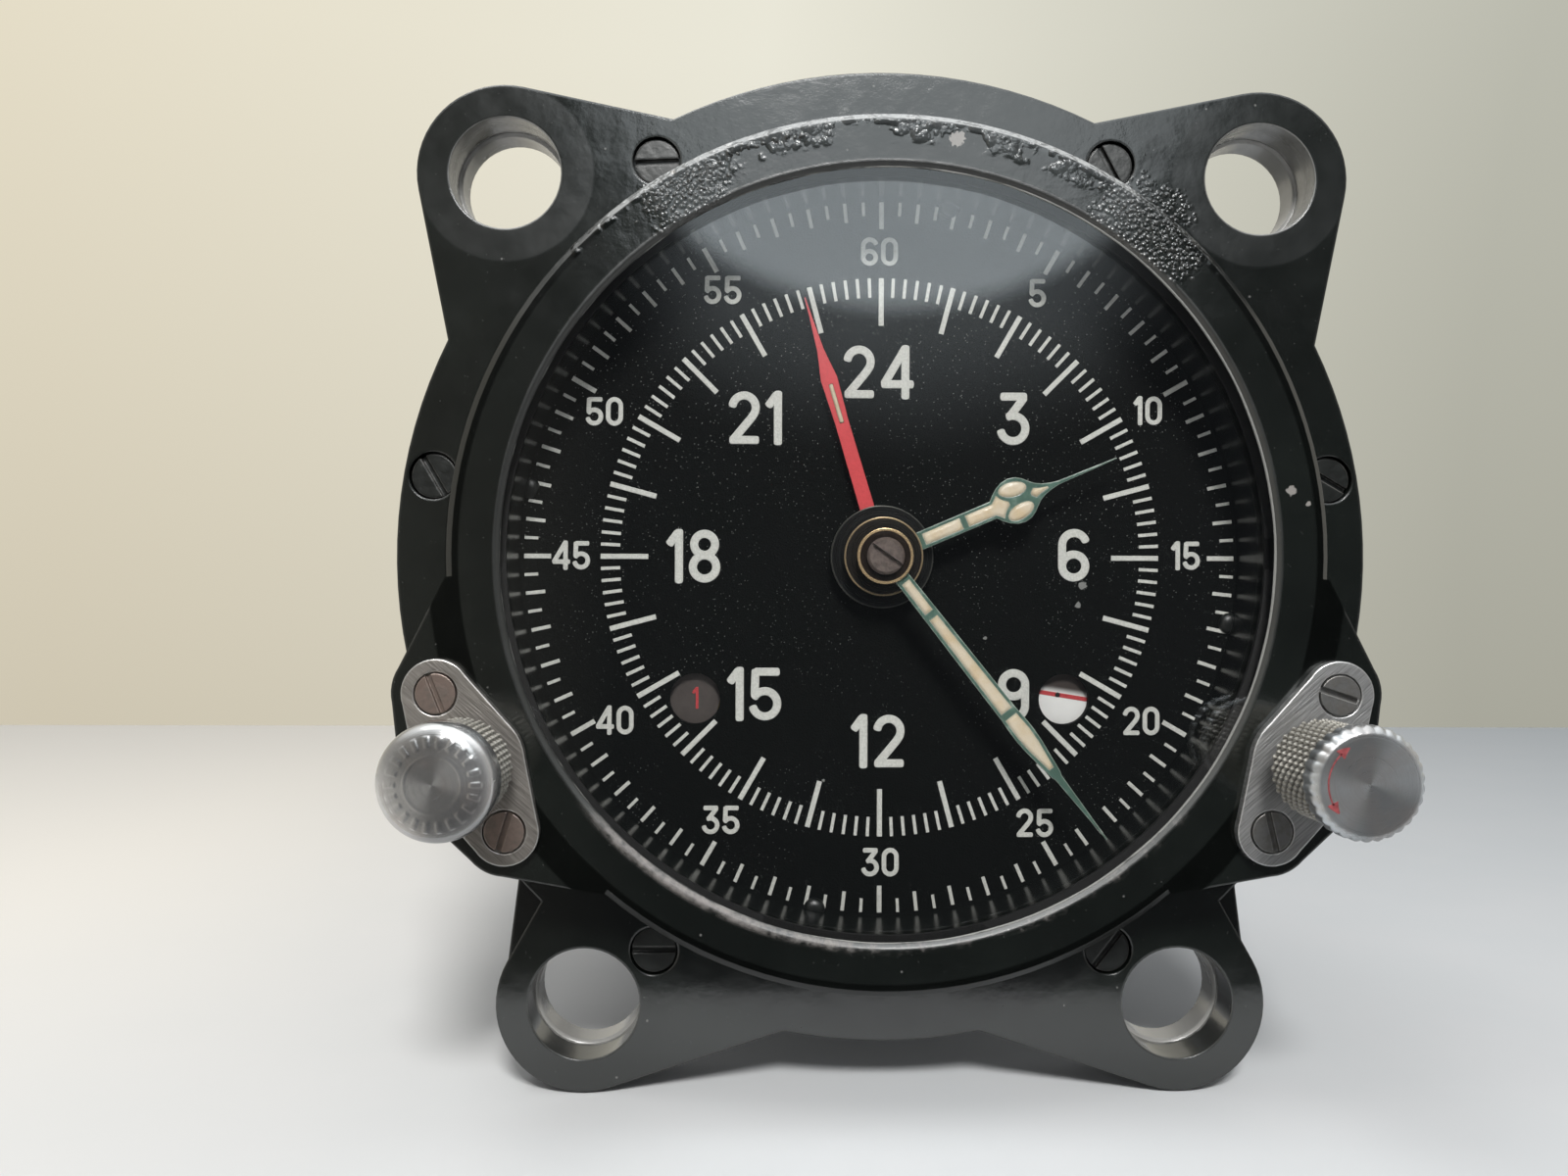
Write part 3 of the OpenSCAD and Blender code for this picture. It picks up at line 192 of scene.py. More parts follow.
class ClockStageSizes(bpy.types.PropertyGroup):
    """Camera, floor and lamps"""

    lens: FloatProperty(
        name="Lens", description="Focal length in millimetres", default=28.03, subtype="DISTANCE_CAMERA"
    )
    stand_off: length("Camera distance", "Distance of the camera in front of the lug plane", 135.0)
    aside: length("Camera aside", "Camera to the right of the dial axis", -12.3)
    above: length("Camera above", "Camera above the dial axis", -3.3)
    yaw: angle("Turn", "Camera turned to the right", 0.9)
    roll: angle("Roll", "Camera tipped to the left", 0.2)
    floor_back: length("Floor edge", "Back edge of the floor behind the lug plane", 329.0)
    key_power: watts("Key lamp", "Power of the lamp in front", 5.0)
    top_power: watts("Top lamp", "Power of the lamp overhead", 1.2)
    glow: FloatProperty(name="Round lamp", description="Brightness of the round lamp in mirrors", default=1.75)


# Meshes


def piece_from(name, points, faces, body, slot, finish, smooth=None):
    """A new piece from points in millimetres and a list of faces, closed, facing outwards and riding on a body."""
    mesh = bpy.data.meshes.new(name)
    mesh.from_pydata((np.asarray(points, float) * MM).tolist(), [], [list(f) for f in faces])
    turned = bmesh.new()
    turned.from_mesh(mesh)
    bmesh.ops.recalc_face_normals(turned, faces=turned.faces)
    turned.to_mesh(mesh)
    turned.free()
    if smooth is not None:
        mesh.shade_smooth()
        mesh.set_sharp_from_angle(angle=math.radians(smooth))
    mesh.materials.append(finish)
    made = bpy.data.objects.new(name, mesh)
    bpy.context.scene.collection.objects.link(made)
    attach(made, body)
    return made


def sheet_from(name, points, material, unseen):
    """A stage piece of one flat face through points in metres, left out of the kinds of ray that unseen names."""
    mesh = bpy.data.meshes.new(name)
    mesh.from_pydata(points, [], [list(range(len(points)))])
    mesh.materials.append(material)
    made = bpy.data.objects.new(name, mesh)
    for kind in unseen:
        setattr(made, "visible_" + kind, False)
    bpy.context.scene.collection.objects.link(made)


def circle(count):
    """Angles of even steps once round, the last a step short of the first."""
    return np.linspace(0, 2 * np.pi, count, endpoint=False)


def ring_quads(sections, around, closed=False):
    """Quads between closed rings of points, section by section; the ends meet, or get one face each."""
    i = np.arange(sections if closed else sections - 1)[:, None]
    j = np.arange(around)[None, :]
    k = (j + 1) % around
    here, ahead = i * around, (i + 1) % sections * around
    quads = np.stack([here + j, here + k, ahead + k, ahead + j], axis=-1).reshape(-1, 4).tolist()
    ends = [list(range(around)), list(range((sections - 1) * around, sections * around))]
    return quads if closed else quads + ends


def lathe(profile, centre, around, swell=None, lift=None):
    """A turned surface: each profile row [radius, y] becomes a ring about the axis at centre.

    swell adds to the radius and lift to y, as arrays over rows and angles.
    """
    profile = np.asarray(profile, float)
    turn = circle(around)
    radius = profile[:, :1] + (0 if swell is None else swell)
    radius = np.broadcast_to(radius, (len(profile), around))
    x = centre[0] + radius * np.cos(turn)
    z = centre[1] + radius * np.sin(turn)
    y = np.broadcast_to(profile[:, 1:2] + (0 if lift is None else lift), x.shape)
    return np.stack([x, y, z], axis=-1).reshape(-1, 3), ring_quads(len(profile), around)


def arc(x, z, across, up, start, stop, count=28):
    """Points of an ellipse arc from start to stop degrees, anticlockwise from the right."""
    a = np.radians(np.linspace(start, stop, count))
    return np.stack([x + across * np.cos(a), z + up * np.sin(a)], axis=-1)


def straight(*corners):
    """Points along straight lines between corners."""
    corners = np.array(corners, float)
    share = np.linspace(0, 1, 5)[:, None]
    runs = [a + (b - a) * share for a, b in zip(corners[:-1], corners[1:])]
    return np.concatenate(runs)


def stroke(path, half, base, top, rounding=0.6):
    """A brush stroke: a flat band of half width along a path in the dial plane, from base to top.

    Its ends run out in a rounded cap, unless the path comes back to its start. The upper edge is drawn in
    a little, as thick paint is.
    """
    path = np.asarray(path, float)
    path = path[np.r_[True, np.linalg.norm(np.diff(path, axis=0), axis=1) > SAME_PLACE]]
    closed = np.linalg.norm(path[0] - path[-1]) < SAME_PLACE
    if closed:
        path = path[:-1]
        along = np.roll(path, -1, 0) - np.roll(path, 1, 0)
    else:
        along = np.gradient(path, axis=0)
    along /= np.linalg.norm(along, axis=1)[:, None]
    line, wide = path, np.full(len(path), half)
    if not closed:
        turn = np.radians(np.array([88, 66, 44, 22]))
        reach, narrow = rounding * half * np.sin(turn)[:, None], half * np.cos(turn) ** rounding
        line = np.concatenate([path[0] - along[0] * reach, path, path[-1] + along[-1] * reach[::-1]])
        along = np.concatenate([np.repeat(along[:1], len(turn), 0), along, np.repeat(along[-1:], len(turn), 0)])
        wide = np.concatenate([narrow, wide, narrow[::-1]])
    side = np.stack([-along[:, 1], along[:, 0]], axis=-1) * wide[:, None]
    rows = [(1, base), (PAINT_EDGE, top), (-PAINT_EDGE, top), (-1, base)]
    corners = [np.insert(line + side * k, 1, y, axis=1) for k, y in rows]
    return np.stack(corners, axis=1).reshape(-1, 3), ring_quads(len(line), len(rows), closed)


def gather(parts):
    """Several point and face lists as one."""
    points, faces, start = [], [], 0
    for p, f in parts:
        points.append(p)
        faces += [[i + start for i in face] for face in f]
        start += len(p)
    return np.concatenate(points), faces


# Numerals as centre lines in a box one unit high: the width, then the lines
SIX = [
    arc(0.3, 0.295, 0.222, 0.22, 180, -180, 48),
    np.concatenate([straight((0.078, 0.3), (0.078, 0.62)), arc(0.31, 0.69, 0.232, 0.235, 180, 24)]),
]
NUMERALS = {
    "0": (0.6, [np.concatenate([
        arc(0.3, 0.69, 0.222, 0.235, 0, 180), arc(0.3, 0.31, 0.222, 0.235, 180, 360), [(0.522, 0.69)]])]),
    "1": (0.31, [straight((0.235, 0.03), (0.235, 0.97)), straight((0.2, 0.93), (0.065, 0.745))]),
    "2": (0.6, [
        np.concatenate([arc(0.3, 0.695, 0.222, 0.23, 168, -36), straight((0.44, 0.5), (0.1, 0.09))]),
        straight((0.07, 0.078), (0.54, 0.078))]),
    "3": (0.6, [
        straight((0.09, 0.922), (0.51, 0.922)), straight((0.49, 0.89), (0.25, 0.57)),
        arc(0.29, 0.315, 0.237, 0.24, 112, -165, 40)]),
    "4": (0.62, [
        straight((0.46, 0.94), (0.08, 0.29)), straight((0.06, 0.27), (0.59, 0.27)),
        straight((0.475, 0.03), (0.475, 0.97))]),
    "5": (0.6, [
        straight((0.13, 0.922), (0.53, 0.922)), straight((0.115, 0.93), (0.1, 0.5)),
        arc(0.295, 0.315, 0.235, 0.24, 146, -162, 40)]),
    "6": (0.6, SIX),
    "7": (0.56, [straight((0.07, 0.922), (0.52, 0.922)), straight((0.5, 0.9), (0.2, 0.03))]),
    "8": (0.6, [arc(0.3, 0.725, 0.198, 0.2, 0, 360, 48), arc(0.3, 0.295, 0.222, 0.22, 90, 450, 48)]),
    "9": (0.6, [np.array([0.6, 1.0]) - line for line in SIX]),
}


def number(text, centre, height, half, base, top, tilt=0.0):
    """Strokes of a whole number, centred at a point of the dial plane and turned by tilt degrees.

    Strokes that cross end at slightly different heights, so that no two faces lie in one plane.
    """
    gap = 0.11
    wide = sum(NUMERALS[c][0] for c in text) + gap * (len(text) - 1)
    turn = math.radians(tilt)
    matrix = np.array([[math.cos(turn), math.sin(turn)], [-math.sin(turn), math.cos(turn)]])
    parts, start = [], -wide / 2
    for count, c in enumerate(text):
        for order, line in enumerate(NUMERALS[c][1]):
            flat = (line + np.array([start, -0.5])) * height
            rise = 0.004 * order + 0.002 * count
            parts.append(stroke(flat @ matrix + np.asarray(centre), half, base, top - rise))
        start += NUMERALS[c][0] + gap
    return parts


def marks(angles, inner, outer, half, base, top):
    """Straight marks pointing at the dial's centre, as slim boxes for whole arrays of angles."""
    angles = np.radians(np.asarray(angles, float))
    inner, outer = np.broadcast_to(inner, angles.shape), np.broadcast_to(outer, angles.shape)
    out = np.stack([np.sin(angles), np.cos(angles)], axis=-1)
    side = np.stack([out[:, 1], -out[:, 0]], axis=-1)
    corners = []
    for y, draw_in in ((base, 1.0), (top, PAINT_EDGE)):
        for radius, s in ((inner, -1), (inner, 1), (outer, 1), (outer, -1)):
            flat = out * radius[:, None] + side * (s * half * draw_in)
            corners.append(np.insert(flat, 1, y, axis=1))
    points = np.stack(corners, axis=1).reshape(-1, 3)
    box = np.array([[0, 1, 2, 3], [7, 6, 5, 4], [0, 4, 5, 1], [1, 5, 6, 2], [2, 6, 7, 3], [3, 7, 4, 0]])
    faces = (np.arange(len(angles))[:, None, None] * len(corners) + box).reshape(-1, 4)
    return points, faces.tolist()


def clear_of_windows(angles, inner, half, margin):
    """Inner ends of marks, moved outwards where a mark would run over an indicator window."""
    angles = np.radians(np.asarray(angles, float))
    out = np.stack([np.sin(angles), np.cos(angles)], axis=-1)
    inner = np.full(angles.shape, float(inner))
    for centre in WINDOWS:
        along = out @ centre
        away = np.abs(out[:, 0] * centre[1] - out[:, 1] * centre[0])
        reach = WINDOW_R + margin + half
        chord = np.sqrt(np.maximum(reach**2 - away**2, 0))
        inner = np.where((away < reach) & (along > 0), np.maximum(inner, along + chord), inner)
    return inner


# Finishes


class Value:
    """A shader socket. Arithmetic on it adds Math nodes to its finish."""

    def __init__(self, finish, socket):
        self.finish = finish
        self.socket = socket

    def math(self, operation, *terms):
        return self.finish.node("ShaderNodeMath", {"operation": operation}, *terms)

    def __add__(self, other):
        return self.math("ADD", self, other)

    def __sub__(self, other):
        return self.math("SUBTRACT", self, other)

    def __rsub__(self, other):
        return self.math("SUBTRACT", other, self)

    def __mul__(self, other):
        return self.math("MULTIPLY", self, other)

    def __truediv__(self, other):
        return self.math("DIVIDE", self, other)

    def __pow__(self, other):
        return self.math("POWER", self, other)

    __radd__ = __add__
    __rmul__ = __mul__

    def size(self):
        return self.math("ABSOLUTE", self)

    def least(self, other):
        return self.math("MINIMUM", self, other)

    def most(self, other):
        return self.math("MAXIMUM", self, other)

    def sine(self):
        return self.math("SINE", self)

    def step(self, low, high, first, last):
        """first below low, last above high, smooth between."""
        settings = {"interpolation_type": "SMOOTHSTEP"}
        return self.finish.node("ShaderNodeMapRange", settings, self, low, high, first, last)

    def rise(self, low, high):
        """0 below low, 1 above high, smooth between."""
        return self.step(low, high, 0.0, 1.0)

    def fall(self, low, high):
        """1 below low, 0 above high, smooth between."""
        return self.step(low, high, 1.0, 0.0)

    def band(self, low, full, fade, high):
        """1 from full to fade, 0 below low and above high, smooth between."""
        return self.rise(low, full) * self.fall(fade, high)


class Finish:
    """A material with one principled shader, built from expressions on Value sockets."""

    def __init__(self, name, **constants):
        self.material = bpy.data.materials.new(name)
        self.material.use_nodes = True
        self.tree = self.material.node_tree
        self.tree.nodes.clear()
        self.shader = self.tree.nodes.new("ShaderNodeBsdfPrincipled")
        output = self.tree.nodes.new("ShaderNodeOutputMaterial")
        self.tree.links.new(self.shader.outputs[0], output.inputs[0])
        place = self.node("ShaderNodeTexCoord", out="Object")
        self.mm = self.node("ShaderNodeVectorMath", {"operation": "SCALE"}, place, sockets={"Scale": 1 / MM})
        self.set(**constants)

    def node(self, kind, settings=None, *values, sockets=None, out=0):
        """Adds a node: its settings first, then values or links of its sockets by place or by name."""
        made = self.tree.nodes.new(kind)
        for key, value in (settings or {}).items():
            if key == "stops":
                self.fill_ramp(made.color_ramp, value)
            else:
                setattr(made, key, value)
        pairs = list(zip(made.inputs, values))
        pairs += [(made.inputs[key], value) for key, value in (sockets or {}).items()]
        for socket, value in pairs:
            if isinstance(value, Value):
                self.tree.links.new(value.socket, socket)
            else:
                socket.default_value = value
        return Value(self, made.outputs[out])

    @staticmethod
    def fill_ramp(ramp, stops):
        while len(ramp.elements) < len(stops):
            ramp.elements.new(1.0)
        for element, (place, shade) in zip(ramp.elements, stops):
            element.position, element.color = place, (*shade, 1.0)

    def set(self, **sockets):
        """Sets or links sockets of the principled shader; a name's underscores stand for spaces."""
        for name, value in sockets.items():
            socket = self.shader.inputs[name.replace("_", " ")]
            if isinstance(value, Value):
                self.tree.links.new(value.socket, socket)
            elif socket.type == "RGBA" and len(value) == 3:
                socket.default_value = (*value, 1.0)
            else:
                socket.default_value = value

    def axes(self):
        """x, y and z of the surface in millimetres."""
        made = self.node("ShaderNodeSeparateXYZ", None, self.mm)
        outs = made.socket.node.outputs
        return [Value(self, outs[i]) for i in range(3)]

    def noise(self, scale, detail=2.0, rough=0.5, vector=None):
        """Smooth noise from about 0.25 to 0.75, with scale in waves a millimetre."""
        return self.node(
            "ShaderNodeTexNoise", None,
            sockets={"Vector": vector or self.mm, "Scale": scale, "Detail": detail, "Roughness": rough},
        )

    def stretched(self, stretch, turn=0.0):
        """Coordinates turned about Y by degrees and then stretched per axis."""
        turned = self.node(
            "ShaderNodeMapping", {"vector_type": "POINT"}, self.mm, sockets={"Rotation": (0.0, math.radians(turn), 0.0)}
        )
        return self.node("ShaderNodeVectorMath", {"operation": "MULTIPLY"}, turned, stretch)

    def cells(self, scale):
        """Distance from the nearest of points scattered at random, with scale in points a millimetre."""
        return self.node(
            "ShaderNodeTexVoronoi", {"feature": "F1"}, sockets={"Vector": self.mm, "Scale": scale, "Randomness": 1.0}
        )

    def specks(self, scale, size):
        """Small round specks scattered at random: 1 on a speck, 0 elsewhere."""
        return self.cells(scale).fall(size * 0.5, size)

    def domes(self, scale):
        """Round drops packed at random: 1 on top of a drop, 0 between drops."""
        return (1 - (self.cells(scale) * 1.5) ** 2.0).most(0.0)

    def mix(self, share, a, b):
        """Colour a, with share of colour b over it."""
        a = a if isinstance(a, Value) else (*a, 1.0)
        b = b if isinstance(b, Value) else (*b, 1.0)
        return self.node("ShaderNodeMix", {"data_type": "RGBA"}, sockets={0: share, 6: a, 7: b}, out=2)

    def rounded(self, radius):
        """The normal with edges rounded off by a radius in millimetres, and a mask of those edges."""
        soft = self.node("ShaderNodeBevel", {"samples": 6}, sockets={"Radius": radius * MM})
        flat = self.node("ShaderNodeNewGeometry", out="Normal")
        same = self.node("ShaderNodeVectorMath", {"operation": "DOT_PRODUCT"}, soft, flat, out="Value")
        return soft, 1 - same

    def bump(self, height, depth, normal=None):
        """A normal pushed about by a height, with depth in millimetres."""
        sockets = {"Strength": 1.0, "Distance": depth * MM, "Height": height}
        if normal is not None:
            sockets["Normal"] = normal
        return self.node("ShaderNodeBump", None, sockets=sockets)


FINISHES = {}


def finish(name):
    return FINISHES[name].material


def dress(names, material):
    """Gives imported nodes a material."""
    for name in names:
        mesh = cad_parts[name].data
        mesh.materials.clear()
        mesh.materials.append(material)


def tinted(shade, by):
    """A colour times a factor, or times one factor for each channel, and never past white."""
    return tuple(float(min(1.0, c * k)) for c, k in zip(shade, np.broadcast_to(by, 3)))


def distance(across, up):
    """Length of an offset in the dial plane."""
    return ((across**2.0) + (up**2.0)) ** 0.5


def lug_distance(x, z):
    """Distance from an upper and from a lower lug axis, whichever side is nearer."""
    return [distance(x.size() - across, z - up) for across, up in LUG_AXES]


def spots(made, x, z, places):
    """1 inside any of several ragged round spots given as x, z and radius."""
    ragged = (made.noise(2.2, 3.0) - 0.5) * 1.6
    total = None
    for sx, sz, radius in places:
        spot = (distance(x - sx, z - sz) / radius + ragged).fall(0.75, 0.95)
        total = spot if total is None else total.most(spot)
    return total


def make_enamel(colours):
    """Brushed-on black enamel: smooth and wet-looking, with blisters on the upper ring, worn edges and chips.

    Radii on the raised ring, in millimetres: 38.4 at its opening, 43.0 at the edge of its face, 43.7 behind the
    bevel there, 44.4 at its foot. The ring's face lies at y -15 and the flange's at y -8.
    """
    made = Finish("black_enamel", Specular_IOR_Level=1.0, Coat_Roughness=0.05)
    x, y, z = made.axes()
    radius = distance(x, z)
    upper, lower = lug_distance(x, z)
    soft, edge = made.rounded(0.36)
    flat = made.node("ShaderNodeNewGeometry", out="Normal")
    front = y.fall(-7.0, -6.0)
    ragged = (made.noise(0.30, 4.0, 0.6) - 0.5) * 11.0

    # Blistered places: a patch on the left and on the right, the upper shoulder and the crown of the ring
    left = (distance(x + 20.6, z - 35.8) + ragged).fall(2.6, 5.4) * front * radius.fall(45.5, 47.0)
    right = (distance(x - 26.0, z - 33.5) + ragged).fall(4.0, 6.8) * front
    shoulder = radius.band(42.3, 42.9, 43.7, 44.6) * (z + ragged * 0.5).rise(27.0, 34.0) * front
    crown = radius.band(40.4, 41.4, 44.6, 45.6) * (z + ragged * 0.3).rise(33.5, 38.5) * front
    crown = crown * made.noise(0.26, 3.0, 0.55).rise(0.44, 0.58)
    lumpy = left.most(right).most(shoulder).most(crown)

    # Height of the paint: blisters, slow waves, grain, and brush marks on the upper flange
    drops = made.noise(0.55, 1.0, 0.4).rise(0.42, 0.62)
    beads, fine = made.domes(0.95), made.domes(2.1)
    height = left * (drops * 0.12 + fine * 0.34) + right * fine * 0.34 + shoulder * beads * drops * 0.7
    height = height + crown * (drops * 0.15 + beads * 0.4 + fine * 0.12)
    waves, grain = made.noise(0.20, 2.0), made.noise(1.6, 2.0)
    brushed = made.noise(0.55, 5.0, 0.68) * z.rise(16.0, 38.0) * upper.rise(11.0, 17.0) * front
    height = height + waves * 0.16 + grain * 0.018 + brushed * 0.15

    # Wear: washer marks, rubbed edges, chips, old sealing crust, dust and bare bores; the ring's foot made dark and
    # dull
    washer = upper.fall(9.0, 9.4) * y.fall(-6.0, -5.0)
    # The foot of the ring is made dull and dark, except near the top, with its edge rounding taken away
    foot = radius.band(42.2, 42.5, 45.2, 45.6) * front * (1 - radius.fall(43.6, 43.9) * z.rise(26.0, 36.0))
    worn = (edge * 1.2 + made.noise(0.45, 4.0, 0.6) * 1.2 - 0.97 - foot * 0.5).rise(0.08, 0.34)
    chips = spots(made, x, z, [(6.5, 41.0, 0.85), (39.8, 6.5, 0.55), (41.5, 5.2, 0.3), (-21.5, 37.6, 0.3)])
    rim_band = radius.band(38.2, 38.5, 38.8, 39.6) * z.fall(-29.0, -24.0) * y.fall(-14.4, -13.9)
    crust = rim_band * (made.noise(0.7, 5.0, 0.7) + x.fall(-22.0, 8.0) * 0.2).rise(0.48, 0.80)
    dust = (made.specks(0.30, 0.05) * 0.4).most(made.specks(1.2, 0.09) * 0.16)
    behind = (y + ragged * 0.12).rise(-LUG_SPLIT - 0.5, -LUG_SPLIT - 0.2)
    cloudy = made.noise(0.2, 2.0).rise(0.25, 0.6)
    in_upper, in_lower = (lug.fall(BORE_R + 0.02, BORE_R + 0.15) for lug in (upper, lower))
    bores = in_upper * (cloudy * 0.35 + 0.12 + behind * 0.25)
    bores = bores.most(in_lower * (behind * 0.62 + 0.05))

    base = made.mix(made.noise(0.07, 3.0).rise(0.35, 0.7), colours.enamel, tinted(colours.enamel, 1.6))
    base = made.mix(washer * 0.5, base, (0.007, 0.0085, 0.008))
    base = made.mix(dust, base, (0.25, 0.25, 0.24))
    base = made.mix(worn * 0.55, base, (0.22, 0.215, 0.20))
    base = made.mix(chips * front * 0.8, base, (0.27, 0.255, 0.24))
    base = made.mix(crust * 0.6, base, (0.30, 0.275, 0.26))
    base = made.mix(bores, base, (0.38, 0.375, 0.36))
    lip = radius.fall(38.9, 39.2) * y.fall(-13.0, -12.5)
    rough = 0.10 + made.noise(0.35, 3.0) * 0.11 + washer * 0.07 + crust * 0.4 + bores * 0.15 - lumpy * 0.05
    rough = rough + lip * 0.2 + foot * 0.05 - z.rise(34.0, 42.0) * front * 0.05
    made.set(
        Base_Color=base,
        Roughness=rough.least(0.8),
        Metallic=(worn * 0.5).most(foot * 0.7),
        Coat_Weight=(lumpy * 0.7 + 0.2) * (1 - worn.most(chips)) * (1 - washer) * (1 - foot),
        Normal=made.bump(height, 0.30, made.mix(foot * 0.85, soft, flat)),
    )
    return made


def make_wall(colours):
    """Gloss black wall round the dial, smooth enough to mirror the marks."""
    made = Finish("wall_gloss", Specular_IOR_Level=0.4)
    streaks = made.noise(0.5, 3.0)
    base = made.mix(streaks.rise(0.4, 0.7) * 0.4, colours.enamel, tinted(colours.enamel, 1.5))
    made.set(Base_Color=base, Roughness=0.17 + streaks * 0.14)
    return made


def make_dial(colours):
    """Matt black dial with a fine sprayed grain, sparse bright dust and a few smears."""
    made = Finish("dial_black", Specular_IOR_Level=0.06)
    grain = made.noise(5.5, 3.0, 0.6)
    cloud = made.noise(0.12, 3.0)
    x, _, z = made.axes()
    smears = spots(made, x, z, [(21.6, -2.9, 0.5), (21.2, -5.0, 0.35), (11.2, -8.6, 0.25), (-6.0, -23.8, 0.2)])
    dust = made.specks(1.6, 0.10) * (cloud + z * 0.004).rise(0.36, 0.62)
    spray = made.specks(2.1, 0.15) * (cloud + z * 0.006).rise(0.30, 0.70)
    base = made.mix(grain.rise(0.5, 0.75) * 0.6, colours.dial, tinted(colours.dial, 2.6))
    base = made.mix((dust * 0.45).most(smears * 0.45).most(spray * 0.5), base, (0.45, 0.46, 0.44))
    made.set(Base_Color=base, Roughness=0.50 + grain * 0.18, Normal=made.bump(grain, 0.07))
    return made


def make_paint(name, shade, grain_scale, depth, rough, dark):
    """Thick hand-laid paint with a grain, darker between its grains."""
    made = Finish(name, Specular_IOR_Level=0.4)
    grain = made.noise(grain_scale, 3.0, 0.6)
    patch = made.noise(0.35, 2.0)
    base = made.mix(grain.rise(0.35, 0.65), tinted(shade, dark), shade)
    base = made.mix(patch.rise(0.45, 0.75) * 0.35, base, tinted(shade, 0.86))
    made.set(Base_Color=base, Roughness=rough - 0.1 + grain * 0.2, Normal=made.bump(grain, depth))
    return made


def make_lume(colours):
    """Aged luminous paint: cream in the middle of a cell, greener at its edge, domed under a thin varnish."""
    made = Finish("lume", Specular_IOR_Level=0.8, Coat_Roughness=0.07)
    soft, edge = made.rounded(0.7)
    patch = made.noise(0.55, 3.0)
    grain = made.noise(3.5, 2.0)
    old = tinted(colours.lume, (0.92, 0.84, 0.72))
    base = made.mix(patch.rise(0.35, 0.7), colours.lume, old)
    base = made.mix((edge * 1.6).least(0.6), base, (0.42, 0.43, 0.32))
    made.set(
        Base_Color=base,
        Roughness=0.13 + grain * 0.14,
        Coat_Weight=0.3 + patch * 0.4,
        Normal=made.bump(patch + grain * 0.3, 0.12, soft),
    )
    return made


def make_hand_green(colours):
    """Grey-green enamel of the hand frames, with a painted highlight lightening them pale along the edges."""
    made = Finish("hand_green", Specular_IOR_Level=0.8, Coat_Weight=0.5, Coat_Roughness=0.08)
    soft, edge = made.rounded(0.2)
    patch = made.noise(0.7, 3.0)
    base = made.mix(patch.rise(0.4, 0.7) * 0.6, colours.green, tinted(colours.green, 1.5))
    # Painted highlight: the frame edges are lightened to a pale grey-green
    base = made.mix((edge * 3.0 + patch - 0.5).rise(0.08, 0.45) * 0.75, base, (0.48, 0.52, 0.46))
    made.set(Base_Color=base, Roughness=0.13 + patch * 0.12, Normal=soft)
    return made


def make_metal(name, shade, rough, streak, turn, scale, tarnish, depth):
    """Bare metal with fine tool marks drawn out along one direction, and a little tarnish."""
    made = Finish(name)
    soft, edge = made.rounded(0.15)
    lines = made.noise(scale, 4.0, 0.65, made.stretched(streak, turn))
    cloud = made.noise(0.25, 3.0)
    base = made.mix(cloud.rise(0.4, 0.75) * tarnish, shade, tinted(shade, 0.62))
    base = made.mix((lines - 0.5).size().rise(0.02, 0.25) * 0.5, base, tinted(shade, 1.18))
    base = made.mix((edge * 2.5).least(1.0) * 0.4, base, tinted(shade, 1.35))
    made.set(
        Base_Color=base,
        Metallic=1.0,
        Roughness=(lines * 0.3 + cloud * 0.12 + (rough - 0.2)).most(0.06),
        Normal=made.bump(lines, depth, soft),
    )
    return made


def make_spun(name, shade, centre, rough, rings):
    """Turned aluminium: fine rings about the knob's axis, painted glints in sectors, wholly bare only at its edges."""
    bare = 0.85
    made = Finish(name)
    x, y, z = made.axes()
    dx, dz = x - float(centre[0]), z - float(centre[1])
    turn = made.node("ShaderNodeMath", {"operation": "ARCTAN2"}, dz, dx)
    polar = made.node("ShaderNodeCombineXYZ", None, distance(dx, dz) * rings, turn * 0.12, y * 0.5)
    lines = made.noise(1.0, 5.0, 0.7, polar)
    painted_glints = (turn * 2.0 + 0.6).sine()
    soft, edge = made.rounded(0.2)
    scratch = made.noise(1.1, 5.0, 0.7, made.stretched((0.25, 1.0, 3.5), 35.0))
    stain = made.noise(0.33, 3.0)
    # Painted glints: the colour is lighter and darker in sectors round the axis, standing in for a turned face's
    # reflections
    base = made.mix(painted_glints.rise(-0.7, 0.9), tinted(shade, 0.55), tinted(shade, 1.05))
    base = made.mix((lines - 0.5).size().rise(0.02, 0.2) * 0.4, base, tinted(shade, 0.6))
    base = made.mix(scratch.rise(0.6, 0.72) * 0.35, base, tinted(shade, 0.5))
    base = made.mix(stain.rise(0.45, 0.7) * 0.3, base, (0.42, 0.36, 0.33))
    base = made.mix((edge * 2.0).least(0.7), base, (0.85, 0.85, 0.84))
    made.set(
        Base_Color=base,
        Metallic=bare + edge.least(1 - bare),
        Roughness=(lines * 0.22 + (rough - 0.11) + scratch.rise(0.55, 0.75) * 0.12).most(0.05),
        Normal=made.bump(lines + scratch * 0.6, 0.018, soft),
    )
    return made


def make_plate(name, shade, turn):
    """Brushed aluminium of a knob plate: long fine scratches, some deep ones, and a painted highlight on the edges."""
    made = Finish(name)
    soft, edge = made.rounded(0.25)
    fine = made.noise(1.0, 4.0, 0.7, made.stretched((0.22, 1.0, 7.5), turn))
    deep = made.noise(1.0, 2.0, 0.5, made.stretched((0.12, 1.0, 3.2), turn * 0.9))
    cloud = made.noise(0.22, 3.0)
    base = made.mix(fine.rise(0.32, 0.68), tinted(shade, 0.5), shade)
    base = made.mix(deep.rise(0.60, 0.70) * 0.5, base, tinted(shade, 0.4))
    base = made.mix(cloud.rise(0.45, 0.75) * 0.35, base, (0.34, 0.315, 0.29))
    # Painted highlight: the rounded edges are lightened almost to white
    base = made.mix((edge * 3.0).least(0.9), base, (0.86, 0.86, 0.85))
    made.set(
        Base_Color=base,
        Metallic=0.85,
        Roughness=0.24 + fine * 0.16 + cloud * 0.08,
        Normal=made.bump(fine + deep * 0.8, 0.03, soft),
    )
    return made


